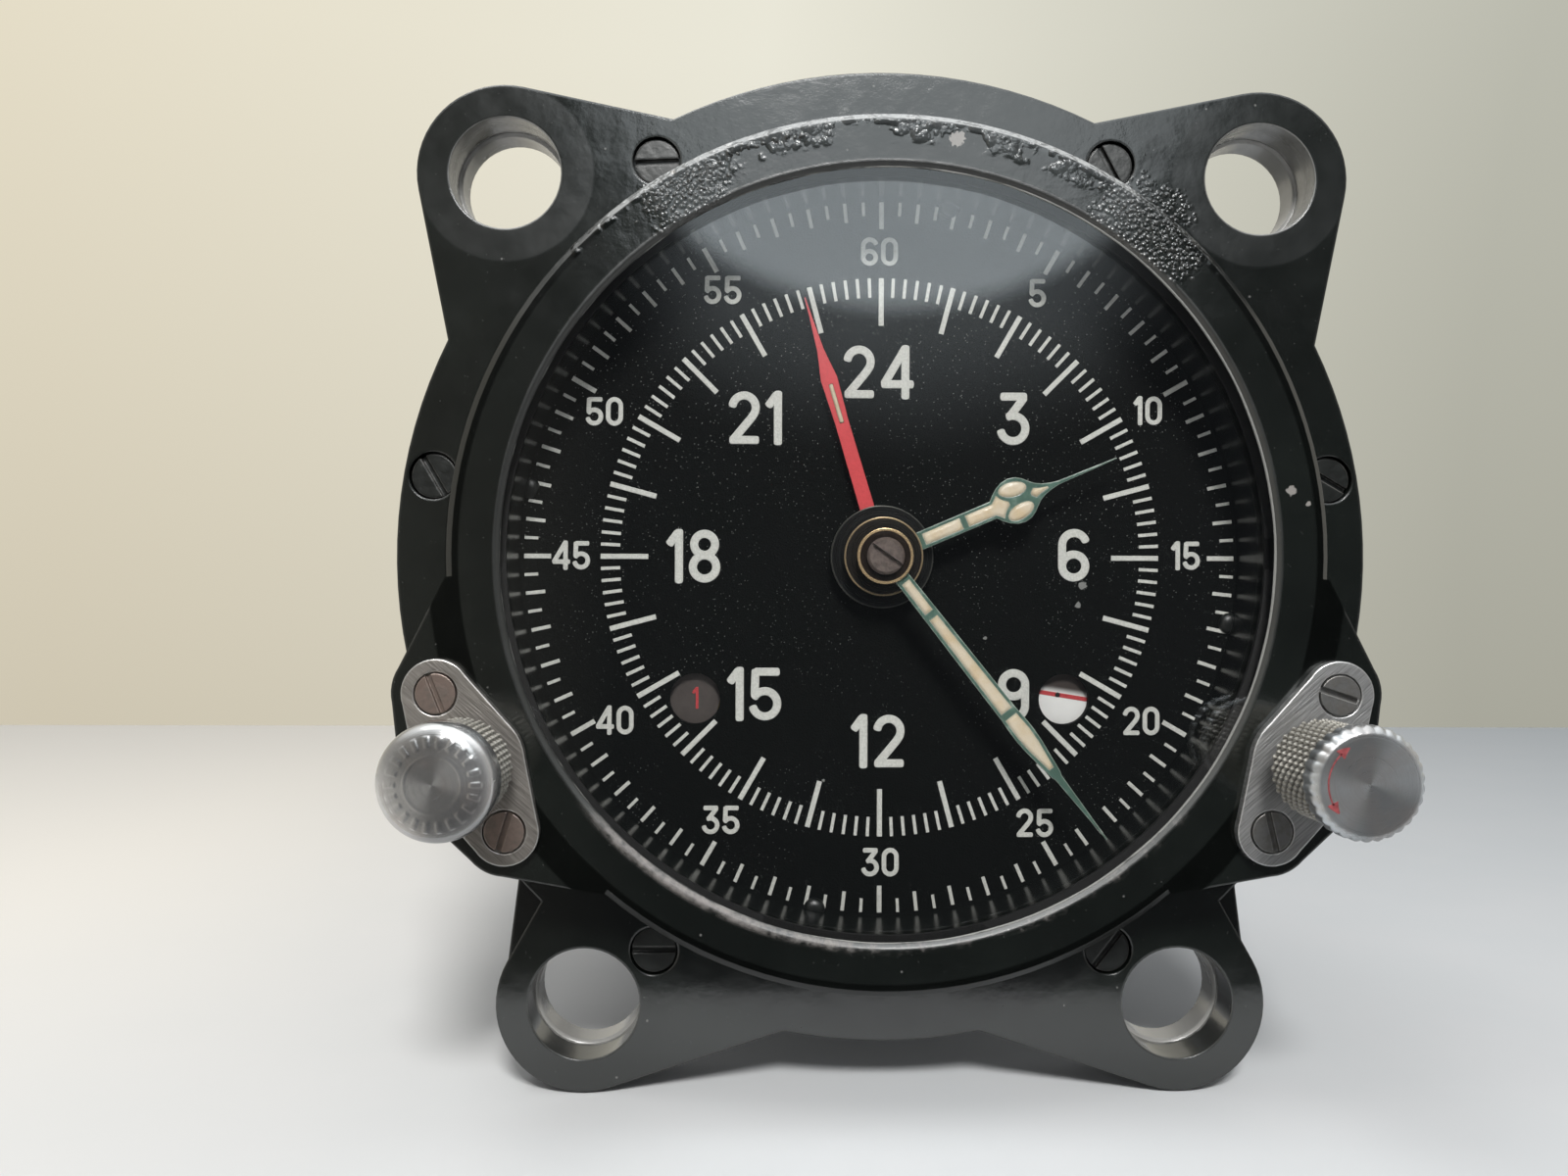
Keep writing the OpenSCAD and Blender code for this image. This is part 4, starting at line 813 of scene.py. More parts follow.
def make_knurl(shade):
    """Knurled aluminium with grey-brown grime between the diamonds."""
    made = Finish("knurled_aluminium")
    cloud = made.noise(0.6, 3.0)
    grime = made.noise(2.4, 3.0)
    height = made.node("ShaderNodeAttribute", {"attribute_name": "crest"}, out="Fac")
    bare = tinted(shade, (0.56, 0.54, 0.49))
    base = made.mix(height.rise(0.2, 0.95), (0.062, 0.056, 0.047), bare)
    base = made.mix(grime.rise(0.42, 0.7) * 0.5, base, (0.22, 0.205, 0.175))
    made.set(
        Base_Color=base,
        Metallic=height.rise(0.0, 0.6) * 0.4 + 0.3,
        Roughness=0.50 - height * 0.16 + cloud * 0.14,
        Normal=made.bump(grime, 0.03),
    )
    return made


def make_plate_screws():
    """Screws of the knob plates: rosy tarnish on the left ones, dark steel on the right ones."""
    made = Finish("plate_screw_steel")
    soft, edge = made.rounded(0.15)
    patch = made.noise(0.9, 4.0, 0.6)
    right = made.axes()[0].rise(-1.0, 1.0)
    tone = made.mix(right, (0.31, 0.24, 0.21), (0.25, 0.25, 0.245))
    base = made.mix(patch.rise(0.4, 0.7) * 0.6, tone, (0.16, 0.145, 0.13))
    base = made.mix((edge * 2.0).least(1.0) * 0.3, base, (0.5, 0.48, 0.45))
    made.set(Base_Color=base, Metallic=0.9, Roughness=0.3 + patch * 0.25, Normal=made.bump(patch, 0.05, soft))
    return made


def make_frame_screws(colours):
    """Frame screws under the case enamel, with the paint worn through at the rims and slots."""
    made = Finish("screw_enamel", Coat_Weight=0.25, Coat_Roughness=0.15)
    soft, edge = made.rounded(0.3)
    lumps = made.noise(0.9, 3.0)
    worn = (edge * 1.7 + lumps - 0.62).rise(0.1, 0.3)
    base = made.mix(lumps.rise(0.4, 0.7) * 0.5, colours.enamel, tinted(colours.enamel, 2.0))
    base = made.mix(worn * 0.6, base, (0.26, 0.25, 0.24))
    made.set(Base_Color=base, Roughness=0.3 + lumps * 0.15, Metallic=worn * 0.5, Normal=made.bump(lumps, 0.06, soft))
    return made


def make_glass():
    """Flat glass: clear, with the mirror share of its two faces set by the angle of view."""
    made = Finish("glass", Base_Color=(0.95, 0.98, 1.0), Metallic=1.0)
    slant = made.node("ShaderNodeLayerWeight", None, 0.5, out="Facing")
    share = 0.04 + (slant**5.0) * 0.96
    haze = made.noise(0.09, 3.0).rise(0.45, 0.75)
    made.set(Alpha=(share * 1.75 + haze * 0.006).least(1.0), Roughness=0.02 + haze * 0.02)
    return made


def make_bead():
    """Old sealing bead round the glass: a thin pale line, clear on the right and broken on the left."""
    made = Finish("sealing_bead", Specular_IOR_Level=0.5)
    broken = (made.noise(0.35, 4.0, 0.6) + made.axes()[0].rise(-30.0, 30.0) * 0.25 - 0.10).rise(0.36, 0.60)
    base = made.mix(broken, (0.010, 0.011, 0.010), (0.17, 0.17, 0.16))
    made.set(Base_Color=base, Roughness=0.3 + broken * 0.2, Normal=made.bump(made.noise(2.0, 2.0), 0.05))
    return made


def make_disc(name, shade, spread, dark=None):
    """Painted indicator disc with faint handling marks, and a dark field above its stripe where one is given."""
    made = Finish(name, Specular_IOR_Level=0.4)
    patch = made.noise(0.8, 4.0, 0.6)
    base = made.mix(patch.rise(0.35, 0.7) * spread, shade, tinted(shade, 0.7))
    if dark:
        # The field above the stripe, darker towards the top, is partly a dark sector of the disc and partly painted
        # shadow of the window's edge
        x, _, z = made.axes()
        middle = axis_of("run_disc")
        above = (z - float(middle[1])) + (x - float(middle[0])) * 0.16
        base = made.mix(above.rise(0.35, 1.3), base, dark)
    made.set(Base_Color=base, Roughness=0.42 + patch * 0.2, Normal=made.bump(patch, 0.03))
    return made


def make_hub(name, node, shade, rim, rough, rim_wide):
    """Turned hub of a hand, dark, with a rubbed rim rim_wide wide inside the node's outer radius."""
    made = Finish(name, Coat_Roughness=0.1)
    rim_out = float(node_box(node)[1][2])
    soft, _ = made.rounded(0.12)
    x, _, z = made.axes()
    radius = distance(x, z)
    rings = made.noise(1.0, 3.0, 0.6, made.node("ShaderNodeCombineXYZ", None, radius * 5.0, 0.0, 0.0))
    rubbed = radius.rise(rim_out - rim_wide, rim_out - rim_wide * 0.7) * (made.noise(0.5, 3.0) + 0.25).rise(0.3, 0.6)
    base = made.mix(rings.rise(0.4, 0.65) * 0.6, shade, tinted(shade, 2.0))
    base = made.mix(rubbed, base, rim)
    made.set(
        Base_Color=base,
        Metallic=rubbed * 0.8,
        Roughness=rough - 0.08 + rings * 0.2,
        Coat_Weight=rings * 0.2,
        Normal=made.bump(rings, 0.02, soft),
    )
    return made


MOVEMENT_BRASS = (
    "winding_bush", "reset_bush", "main_plate", "back_plate", "pillars", "seconds_cock", "escape_bridge",
    "balance_cock", "barrel", "barrel_cover", "winding_wheel", "centre_wheel", "cannon_pinion", "minute_wheel",
    "hour_wheel", "sweep_pinion", "third_wheel", "fourth_wheel", "escape_wheel", "balance_wheel",
)
MOVEMENT_STEEL = (
    "cover_screws", "winding_sleeve", "winding_stem", "reset_stem", "stop_lever", "pillar_screws", "case_screws",
    "cock_screws", "mainspring", "barrel_arbor", "ratchet_wheel", "click", "pallet_lever",
)


# Operators


class CLOCK_OT_finishes(bpy.types.Operator):
    """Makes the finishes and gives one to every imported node"""

    bl_idname = "clock.finishes"
    bl_label = "Finishes"

    def execute(self, context):
        c = context.scene.clock_colours
        left, right = axis_of("winding_knob"), axis_of("reset_knob")
        rosy, cool = tinted(c.aluminium, (0.74, 0.69, 0.64)), tinted(c.aluminium, (0.93, 0.97, 1.0))
        drawn, crossed = {"streak": (1.0, 0.2, 1.0), "turn": 0.0}, {"streak": (0.15, 1.0, 2.6), "turn": 20.0}

        # Each finish by its key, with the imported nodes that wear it; those with none are for new pieces
        rows = {
            "enamel": (make_enamel(c), ("front_frame", "rear_case", "rear_cover")),
            "frame_screws": (make_frame_screws(c), ("frame_screws",)),
            "wall": (make_wall(c), ("dial_wall",)),
            "dial": (make_dial(c), ("dial",)),
            "glass": (make_glass(), ("glass",)),
            "bead": (make_bead(), ()),
            "rubber": (
                make_paint("rubber", (0.012, 0.012, 0.012), grain_scale=3.0, depth=0.03, rough=0.8, dark=0.7),
                ("glass_gasket",),
            ),
            "brushed_left": (make_plate("brushed_left", rosy, turn=-42.0), ("winding_plate",)),
            "brushed_right": (make_plate("brushed_right", c.aluminium, turn=42.0), ("reset_plate",)),
            "plate_screws": (make_plate_screws(), ("plate_screws",)),
            "knurl": (make_knurl(c.aluminium), ("winding_knob", "reset_knob")),
            "winding_cap": (make_spun("polished_cap", c.aluminium, left, rough=0.17, rings=3.0), ("winding_cap",)),
            "reset_cap": (make_spun("spun_cap", cool, right, rough=0.30, rings=5.0), ("reset_cap",)),
            "print": (make_paint("print_white", c.print, grain_scale=4.5, depth=0.05, rough=0.7, dark=0.82), ()),
            "red": (
                make_paint("red_paint", c.red, grain_scale=3.0, depth=0.02, rough=0.42, dark=0.9), ("second_hand",)
            ),
            "ink_red": (
                make_paint("ink_red", tinted(c.red, 0.85), grain_scale=4.0, depth=0.02, rough=0.5, dark=0.75), ()
            ),
            "worn_red": (
                make_paint("worn_red", (0.27, 0.05, 0.055), grain_scale=3.0, depth=0.03, rough=0.5, dark=0.6), ()
            ),
            "ink_black": (
                make_paint("ink_black", (0.006, 0.006, 0.006), grain_scale=3.0, depth=0.02, rough=0.5, dark=0.7), ()
            ),
            "green": (make_hand_green(c), ("hour_hand", "minute_hand")),
            "lume": (make_lume(c), ("hour_lume", "minute_lume")),
            "centre_screw": (
                make_paint("brown_steel", (0.125, 0.098, 0.086), grain_scale=2.2, depth=0.05, rough=0.38, dark=0.6),
                ("hand_screw",),
            ),
            "day": (make_disc("day_disc_paint", (0.060, 0.050, 0.045), spread=0.6), ("day_disc",)),
            # The run disc's dark field above its stripe is partly painted shadow
            "run": (
                make_disc("run_disc_paint", (0.70, 0.70, 0.68), spread=0.15, dark=(0.035, 0.026, 0.022)),
                ("run_disc",),
            ),
            "blued": (
                make_metal("blued_steel", (0.05, 0.08, 0.24), rough=0.3, scale=2.0, tarnish=0.3, depth=0.008, **drawn),
                ("hairspring",),
            ),
            "brass": (
                make_metal("brass", c.brass, rough=0.33, scale=1.4, tarnish=0.4, depth=0.012, **crossed),
                MOVEMENT_BRASS,
            ),
            "steel": (
                make_metal("steel", c.steel, rough=0.34, scale=1.6, tarnish=0.5, depth=0.012, **drawn),
                MOVEMENT_STEEL,
            ),
        }

        # Hubs of the hands: node, shade, colour of the rubbed rim, roughness and width of that rim
        hubs = {
            "black_hub": ("second_hub", (0.0015, 0.0017, 0.0015), (0.10, 0.10, 0.09), 0.26, 0.16),
            "brown_hub": ("hour_hub", (0.005, 0.0035, 0.002), (0.50, 0.38, 0.23), 0.26, 0.2),
            "gilt_hub": ("minute_hub", (0.009, 0.005, 0.003), (0.86, 0.63, 0.36), 0.22, 0.3),
        }
        rows.update({key: (make_hub(key, *looks), looks[:1]) for key, looks in hubs.items()})
        for key, (made, names) in rows.items():
            FINISHES[key] = made
            dress(names, made.material)
        missed = set(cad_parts) - {name for _, names in rows.values() for name in names}
        if missed:
            raise RuntimeError(f"nodes without a finish: {sorted(missed)}")
        return {"FINISHED"}


class CLOCK_OT_dial_print(bpy.types.Operator):
    """Prints the hour ring, the minute ring and their numerals on the dial"""

    bl_idname = "clock.dial_print"
    bl_label = "Dial Print"

    def execute(self, context):
        s = context.scene.clock_dial
        base, top = DIAL_FRONT + PAINT_SINK, DIAL_FRONT - s.ink / MM
        hour_out, minute_out = s.hour_ring / MM, s.minute_ring / MM
        hours, tens = np.arange(24) * 15.0, np.arange(144) * 2.5
        minutes = np.arange(60) * 6.0
        fives = minutes[::5]

        # Angles, length and half width of each kind of mark
        hour_marks = ((hours, s.hour_tick, 0.28), (np.setdiff1d(tens, hours), s.part_tick, 0.18))
        minute_marks = (
            (fives, s.five_tick, 0.26), (np.setdiff1d(minutes, fives), s.one_tick, 0.2),
            (minutes + 3.0, s.half_tick, 0.17),
        )
        rows = []
        for turns, long, half in hour_marks:
            inner = clear_of_windows(turns, hour_out - long / MM, half, margin=0.1)
            rows.append(marks(turns, inner, hour_out, half, base, top))
        self.paint("hour_ring", rows)
        rows = [marks(turns, minute_out - long / MM, minute_out, half, base, top) for turns, long, half in minute_marks]
        self.paint("minute_ring", rows)

        # Centres of the numerals as x and z
        hour_places = {
            "24": (-0.3, 19.75), "3": (14.2, 14.85), "6": (20.7, 0.3), "9": (14.3, -14.7),
            "12": (-0.2, -19.6), "15": (-13.4, -14.6), "18": (-19.9, 0.05), "21": (-13.4, 14.8),
        }
        minute_places = {
            "60": (-0.2, 32.6), "5": (16.7, 28.3), "10": (28.6, 15.8), "15": (32.7, 0.3),
            "20": (28.0, -17.4), "25": (16.6, -28.3), "30": (0.1, -32.5), "35": (-16.9, -28.0),
            "40": (-28.2, -17.4), "45": (-32.9, 0.1), "50": (-29.4, 15.4), "55": (-16.9, 28.4),
        }
        for name, places, tall, half in (
            ("hour_numerals", hour_places, s.hour_height / MM, 0.079),
            ("minute_numerals", minute_places, s.minute_height / MM, 0.085),
        ):
            parts = []
            for text, centre in places.items():
                parts += number(text, centre, tall, half * tall, base, top)
            self.paint(name, parts)
        return {"FINISHED"}

    def paint(self, name, parts):
        piece_from(name, *gather(parts), "case", "indicator_white", finish("print"))


class CLOCK_OT_dial_screws(bpy.types.Operator):
    """Sets four small black screw heads at the dial's edge, half under the wall"""

    bl_idname = "clock.dial_screws"
    bl_label = "Dial Screws"

    def execute(self, context):
        """Domes turned about four axes near the wall; what would reach into the wall is drawn back to it."""
        head, tall, out, crown, clear = 1.15, 0.75, 38.05, 0.06, 0.02
        share = np.linspace(0, 1, 9)
        profile = np.stack([head * np.cos(share * np.pi / 2) ** 0.7, DIAL_FRONT - tall * np.sin(share * np.pi / 2)], -1)
        profile = np.concatenate([[[head, DIAL_FRONT]], profile])
        profile[-1, 0] = crown
        parts = []
        for turn in (79.0, 169.0, 259.5, 349.5):
            a = math.radians(turn)
            points, faces = lathe(profile, (out * math.cos(a), out * math.sin(a)), 32)
            reach = np.hypot(points[:, 0], points[:, 2])
            points[:, [0, 2]] *= np.minimum(1, (WALL_IN - clear) / reach)[:, None]
            parts.append((points, faces))
        piece_from("dial_screws", *gather(parts), "case", "black_enamel", finish("frame_screws"), smooth=40)
        return {"FINISHED"}


class CLOCK_OT_glass_bead(bpy.types.Operator):
    """Runs a thin sealing bead round the glass, where it meets the frame's lip"""

    bl_idname = "clock.glass_bead"
    bl_label = "Sealing Bead"

    def execute(self, context):
        """A ring of round section: radius and y go round a small circle while the section goes round the axis."""
        glass_front = node_box("glass")[0][1]
        around, section = 360, 10
        turn, a = circle(around)[:, None], circle(section)[None, :]
        thick = 0.11 + 0.05 * np.cos(turn)
        radius = 38.42 + thick * np.cos(a) + 0.03 * np.sin(turn * 23) * np.cos(turn * 7)
        y = np.broadcast_to(glass_front - 0.02 - thick * np.sin(a), radius.shape)
        points = np.stack([radius * np.cos(turn), y, radius * np.sin(turn)], -1).reshape(-1, 3)
        faces = ring_quads(around, section, closed=True)
        piece_from("glass_bead", points, faces, "case", "rubber", finish("bead"), smooth=60)
        return {"FINISHED"}


class CLOCK_OT_paint_drops(bpy.types.Operator):
    """Sets hardened drops of enamel on three stretches of the upper ring"""

    bl_idname = "clock.paint_drops"
    bl_label = "Paint Drops"

    def execute(self, context):
        """Low domes of uneven round outline at seeded random places on the ring's face, none touching another."""
        face = node_box("front_frame")[0][1]
        sink, apart = 0.05, 1.1
        draw = np.random.default_rng(24)
        rise = np.radians(np.linspace(0, 80, 4))
        around = circle(12)
        parts, kept = [], []
        for turn, spread, inner, outer, tries, small, large in RUNS_OF_DROPS:
            for _ in range(tries):
                a, out = math.radians(draw.normal(turn, spread)), draw.uniform(inner, outer)
                size, lean, height = draw.uniform(small, large), draw.uniform(0, np.pi), draw.uniform(0.22, 0.42)
                centre = out * np.array([math.cos(a), math.sin(a)])
                if any(np.hypot(*(centre - c)) < apart * (size + r) for c, r in kept):
                    continue
                kept.append((centre, size))
                radius = np.r_[size, size * np.cos(rise) ** 0.7]
                y = np.r_[face + sink, face - size * height * np.sin(rise)]
                uneven = 0.2 * np.cos(2 * (around - lean)) + 0.09 * np.cos(3 * around + lean) - 0.15
                parts.append(lathe(np.stack([radius, y], -1), centre, len(around), radius[:, None] * uneven))
        piece_from("paint_drops", *gather(parts), "case", "black_enamel", finish("enamel"), smooth=70)
        return {"FINISHED"}


class CLOCK_OT_indicators(bpy.types.Operator):
    """Prints the day numerals and the running mark on the discs behind the windows"""

    bl_idname = "clock.indicators"
    bl_label = "Indicator Discs"

    def execute(self, context):
        self.days(height=2.3, half=0.15, ink=0.05)
        self.running_mark(reach=3.1, half=0.24, ink=0.03)
        return {"FINISHED"}

    def days(self, height, half, ink):
        """The numbers 1 to 8 on a circle about the left disc's axis, with 1 upright in the window."""
        base, top = DISC_FRONT + PAINT_SINK, DISC_FRONT - ink
        centre = axis_of("day_disc")
        arm = WINDOWS[0] - centre
        parts = []
        for day in range(1, 9):
            turn = math.radians((day - 1) * 45.0)
            spin = np.array([[math.cos(turn), -math.sin(turn)], [math.sin(turn), math.cos(turn)]])
            parts += number(str(day), centre + arm @ spin, height, half, base, top, math.degrees(turn))
        piece_from("day_numerals", *gather(parts), "winding_train", "red_paint", finish("ink_red"))

    def running_mark(self, reach, half, ink):
        """A sloping stripe over the right disc and a low turned dot beside its middle."""
        base, top = RUN_FRONT + PAINT_SINK, RUN_FRONT - ink
        middle, slope = axis_of("run_disc"), math.radians(-9.0)
        along = np.array([math.cos(slope), math.sin(slope)])
        offset = middle + np.array([0.05, 0.32])
        stripe = stroke(straight(offset - reach * along, offset + reach * along), half, base, top)
        piece_from("run_stripe", *stripe, "escape", "red_paint", finish("ink_red"))
        profile = [[0.02, top - 0.03], [0.22, top - 0.03], [0.27, top - 0.01], [0.27, base]]
        dot = lathe(profile, middle + np.array([-0.45, 0.4]), 24)
        piece_from("run_dot", *dot, "escape", "black_enamel", finish("ink_black"))


class CLOCK_OT_second_lume(bpy.types.Operator):
    """Fills the slit of the second hand with luminous paint"""

    bl_idname = "clock.second_lume"
    bl_label = "Second Hand Filling"

    def execute(self, context):
        turn, inner, outer, half, proud = math.radians(343.3), 14.9, 18.8, 0.232, 0.03
        out = np.array([math.sin(turn), math.cos(turn)])
        path = straight(out * inner, out * outer)
        filling = stroke(path, half, SECOND_BACK - 0.05, SECOND_FRONT - proud, rounding=0.7)
        piece_from("second_lume", *filling, "seconds", "lume", finish("lume"))
        return {"FINISHED"}


class CLOCK_OT_knobs(bpy.types.Operator):
    """Builds the knurled knob bodies and their turned caps"""

    bl_idname = "clock.knobs"
    bl_label = "Knobs"

    def execute(self, context):
        s = context.scene.clock_knobs
        for node, body in (("winding_knob", "winding_turner"), ("reset_knob", "reset_turner")):
            self.knurled(node, body, s)
        self.rounded_cap(s)
        self.scalloped_cap(s)
        self.arrow()
        return {"FINISHED"}

    def knurled(self, node, body, s):
        """Radius less a diamond pattern: two sets of helical grooves, of which the deeper one shows."""

        def ridge(t):
            """A triangle wave: 0 at whole numbers and 1 half way between."""
            return 1 - 2 * np.abs(t - np.floor(t) - 0.5)

        low, high = node_box(node)
        centre, outer = axis_of(node), (high[0] - low[0]) / 2
        around, rows = s.diamonds * 10, 96
        step = 2 * math.pi * outer / s.diamonds
        y = np.linspace(low[1], high[1], rows)
        u = s.diamonds * circle(around)[None, :] / (2 * np.pi)
        v = (y[:, None] - low[1]) / step
        flat_top, bevel, run_out = 0.72, 0.45, 0.5
        crest = np.minimum(np.minimum(ridge(u + v), ridge(u - v)) / flat_top, 1.0)
        end = np.minimum(y - low[1], high[1] - y)
        chamfer = np.maximum(bevel - end, 0)
        depth = s.knurl / MM * np.clip(end / run_out, 0, 1)
        swell = -chamfer[:, None] - depth[:, None] * (1 - crest)
        turned = lathe(np.stack([np.full(rows, outer), y], -1), centre, around, swell)
        made = piece_from(node + "_knurled", *turned, body, "knob_aluminium", finish("knurl"), smooth=50)
        heights = made.data.attributes.new("crest", "FLOAT", "POINT")
        heights.data.foreach_set("value", crest.astype(np.float32).ravel())
        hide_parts(node)

    def rounded_cap(self, s):
        """A superellipse turned about the axis: a flat face with a full round edge and raised plain ticks."""
        low, high = node_box("winding_cap")
        centre, outer, tall = axis_of("winding_cap"), (high[0] - low[0]) / 2, high[1] - low[1]
        a = np.radians(np.linspace(0.3, 90, 120))
        power = 2 / 4.6
        radius, front = outer * np.sin(a) ** power, high[1] - tall * np.cos(a) ** power
        around = s.ticks * 12
        wave = np.clip(1.8 * np.cos(circle(around) * s.ticks) + 0.1, 0, 1)
        tick_in, tick_out, slope, ring_at, ring_wide = 3.15, 4.3, 0.15, 2.5, 0.12
        band = np.clip((radius - tick_in) / slope, 0, 1) * np.clip((tick_out - radius) / slope, 0, 1)
        ring = np.exp(-(((radius - ring_at) / ring_wide) ** 2)) * 0.5
        lift = -s.tick_lift / MM * (band[:, None] * wave[None, :] + ring[:, None])
        made = piece_from(
            "winding_cap_turned", *lathe(np.stack([radius, front], -1), centre, around, lift=lift),
            "winding_turner", "knob_aluminium", finish("winding_cap"), smooth=60,
        )
        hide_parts("winding_cap")

    def scalloped_cap(self, s):
        """A flat turned cap whose rim is cut by rounded scallops, with a bevelled front edge."""
        low, high = node_box("reset_cap")
        centre, outer = axis_of("reset_cap"), (high[2] - low[2]) / 2
        front, deep, middle = low[1], high[1] - low[1], 0.05

        # Radius, depth behind the face and share of the scallop
        rows = np.array([
            (middle, 0.0, 0.0), (outer - 1.2, 0.0, 0.0), (outer - 0.78, 0.0, 0.0), (outer - 0.62, 0.05, 0.1),
            (outer - 0.42, 0.2, 0.4), (outer - 0.14, 0.48, 0.9), (outer, 0.72, 1.0), (outer, 1.0, 1.0),
            (outer, deep - 0.25, 1.0), (outer - 0.2, deep, 0.8), (middle, deep, 0.0),
        ])
        around = s.scallops * 12
        cut = s.scallop / MM * (1 - np.abs(np.sin(circle(around) * s.scallops / 2)))
        swell = -rows[:, 2:3] * cut[None, :]
        profile = np.stack([rows[:, 0], front + rows[:, 1]], -1)
        made = piece_from(
            "reset_cap_turned", *lathe(profile, centre, around, swell),
            "reset_turner", "knob_aluminium", finish("reset_cap"), smooth=35,
        )
        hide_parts("reset_cap")

    def arrow(self):
        """A red arc with a head at each end, painted on the left of the reset cap's face."""
        radius, half, steps = 3.75, 0.075, 9
        centre, base = axis_of("reset_cap"), node_box("reset_cap")[0][1] + 0.01
        top = base - 0.035
        parts = [stroke(centre + arc(0, 0, radius, radius, 134, 208, 30), half, base, top, rounding=1.0)]
        for tip, tail in ((120.0, 136.0), (222.0, 206.0)):
            a = np.radians(np.linspace(tip, tail, steps))
            wide = np.linspace(0.06, 0.52, steps)
            outer, inner = (np.stack([r * np.cos(a), r * np.sin(a)], -1) for r in (radius + wide, radius - wide))
            flat = np.concatenate([outer, inner[::-1]]) + centre
            points = np.concatenate([np.insert(flat, 1, base, axis=1), np.insert(flat, 1, top, axis=1)])
            parts.append((points, ring_quads(2, len(flat))))
        piece_from("reset_arrow", *gather(parts), "reset_turner", "red_paint", finish("worn_red"))


class CLOCK_OT_stage(bpy.types.Operator):
    """Sets the camera, floor, background and lamps"""

    bl_idname = "clock.stage"
    bl_label = "Stage"

    def execute(self, context):
        s = context.scene.clock_stage
        scene = context.scene
        scene.view_settings.view_transform = "Standard"
        self.camera(scene, s)
        self.floor(s)
        self.world(scene)
        self.lamps(scene, s)
        return {"FINISHED"}

    def camera(self, scene, s):
        """A camera in front of the clock, looking along the dial axis with a slight turn and roll."""
        view = bpy.data.cameras.new("view")
        view.lens, view.sensor_width = s.lens, 36.0
        view.clip_start, view.clip_end = 0.005, 20.0
        made = bpy.data.objects.new("view", view)
        made.location = (s.aside, -s.stand_off, s.above)
        made.rotation_euler = (math.radians(90), -s.roll, -s.yaw)
        scene.collection.objects.link(made)
        scene.camera = made

    def floor(self, s):
        """Two flat sheets just under the lower lugs; mirrors see only the one under the clock and behind it."""
        made = Finish("floor_paper", Specular_IOR_Level=0.2)
        fibre = made.noise(0.05, 4.0)
        x, y, _ = made.axes()
        pale = made.mix(fibre.rise(0.3, 0.7), (0.617, 0.637, 0.655), (0.633, 0.648, 0.665))
        # Painted light on the paper: painted shade towards the right and back, and a warm pale patch on the left
        # towards the back as painted light thrown off the wall
        pale = made.mix(x.rise(-60.0, 420.0) * y.rise(-40.0, 120.0), pale, (0.50, 0.535, 0.56))
        pale = made.mix(x.fall(-150.0, 10.0) * y.rise(-180.0, 120.0), pale, (0.90, 0.865, 0.80))
        made.set(Base_Color=pale, Roughness=0.75)
        level, split, near, wide = CAD_BOX[0].z - 0.0002, -0.040, -2.4, 2.2
        for name, low, high, unseen in (
            ("floor", split, s.floor_back, ()),
            ("floor_front", near, split, ("glossy",)),
        ):
            points = [(-wide, low, level), (wide, low, level), (wide, high, level), (-wide, high, level)]
            sheet_from(name, points, made.material, unseen)

    def world(self, scene):
        """A cream wall for the eye, a room that is dark only straight ahead for mirrors, even light otherwise."""
        world = bpy.data.worlds.new("studio")
        scene.world = world
        world.use_nodes = True
        tree = world.node_tree
        tree.nodes.clear()

        def add(kind, links=(), values=(), **settings):
            made = tree.nodes.new(kind)
            for key, value in settings.items():
                setattr(made, key, value)
            for key, socket in links:
                tree.links.new(socket, made.inputs[key])
            for key, value in values:
                made.inputs[key].default_value = value
            return made

        def ramp(socket, low, high, stops):
            share = add("ShaderNodeMapRange", [(0, socket)], [(1, low), (2, high)])
            made = add("ShaderNodeValToRGB", [(0, share.outputs[0])])
            Finish.fill_ramp(made.color_ramp, stops)
            return made.outputs[0]

        def blend(kind, a, b):
            made = add("ShaderNodeMix", [(6, a), (7, b)], [(0, 1.0)], data_type="RGBA", blend_type=kind)
            return made.outputs[2]

        path, place = add("ShaderNodeLightPath"), add("ShaderNodeTexCoord")
        split = add("ShaderNodeSeparateXYZ", [(0, place.outputs["Generated"])])
        x, y, z = split.outputs
        # The wall the eye sees has painted shade: darker towards the right and towards the floor
        across = ramp(x, -0.5, 0.5, [(0.0, (0.79, 0.73, 0.58)), (0.5, (0.82, 0.80, 0.69)), (1.0, (0.50, 0.50, 0.43))])
        height = ramp(z, -0.1, 0.4, [(0.0, (0.78, 0.77, 0.76)), (1.0, (1.0, 1.0, 1.0))])
        wall = blend("MULTIPLY", across, height)
        room = ramp(y, -1.0, 1.0, [
            (0.0, (0.03, 0.032, 0.034)), (0.05, (0.035, 0.037, 0.04)), (0.22, (0.30, 0.30, 0.30)),
            (0.5, (0.46, 0.45, 0.42)), (1.0, (0.62, 0.60, 0.52))])
        above = ramp(z, 0.50, 0.97, [(0.0, (0.0, 0.0, 0.0)), (1.0, (2.2, 2.3, 2.36))])
        aside = ramp(x, -0.50, -0.12, [(0.0, (0.24, 0.22, 0.18)), (1.0, (0.0, 0.0, 0.0))])
        room = blend("ADD", blend("ADD", room, above), aside)
        eye = add("ShaderNodeBackground", [(0, wall)])
        mirror = add("ShaderNodeBackground", [(0, room)])
        even = add("ShaderNodeBackground", values=[(0, (0.98, 0.99, 1.0, 1.0)), (1, 0.30)])
        shiny = add(
            "ShaderNodeMath", [(0, path.outputs["Is Glossy Ray"]), (1, path.outputs["Is Transmission Ray"])],
            operation="MAXIMUM",
        )
        unseen = add("ShaderNodeMixShader", [(0, shiny.outputs[0]), (1, even.outputs[0]), (2, mirror.outputs[0])])
        to_camera = path.outputs["Is Camera Ray"]
        seen = add("ShaderNodeMixShader", [(0, to_camera), (1, unseen.outputs[0]), (2, eye.outputs[0])])
        add("ShaderNodeOutputWorld", [(0, seen.outputs[0])])

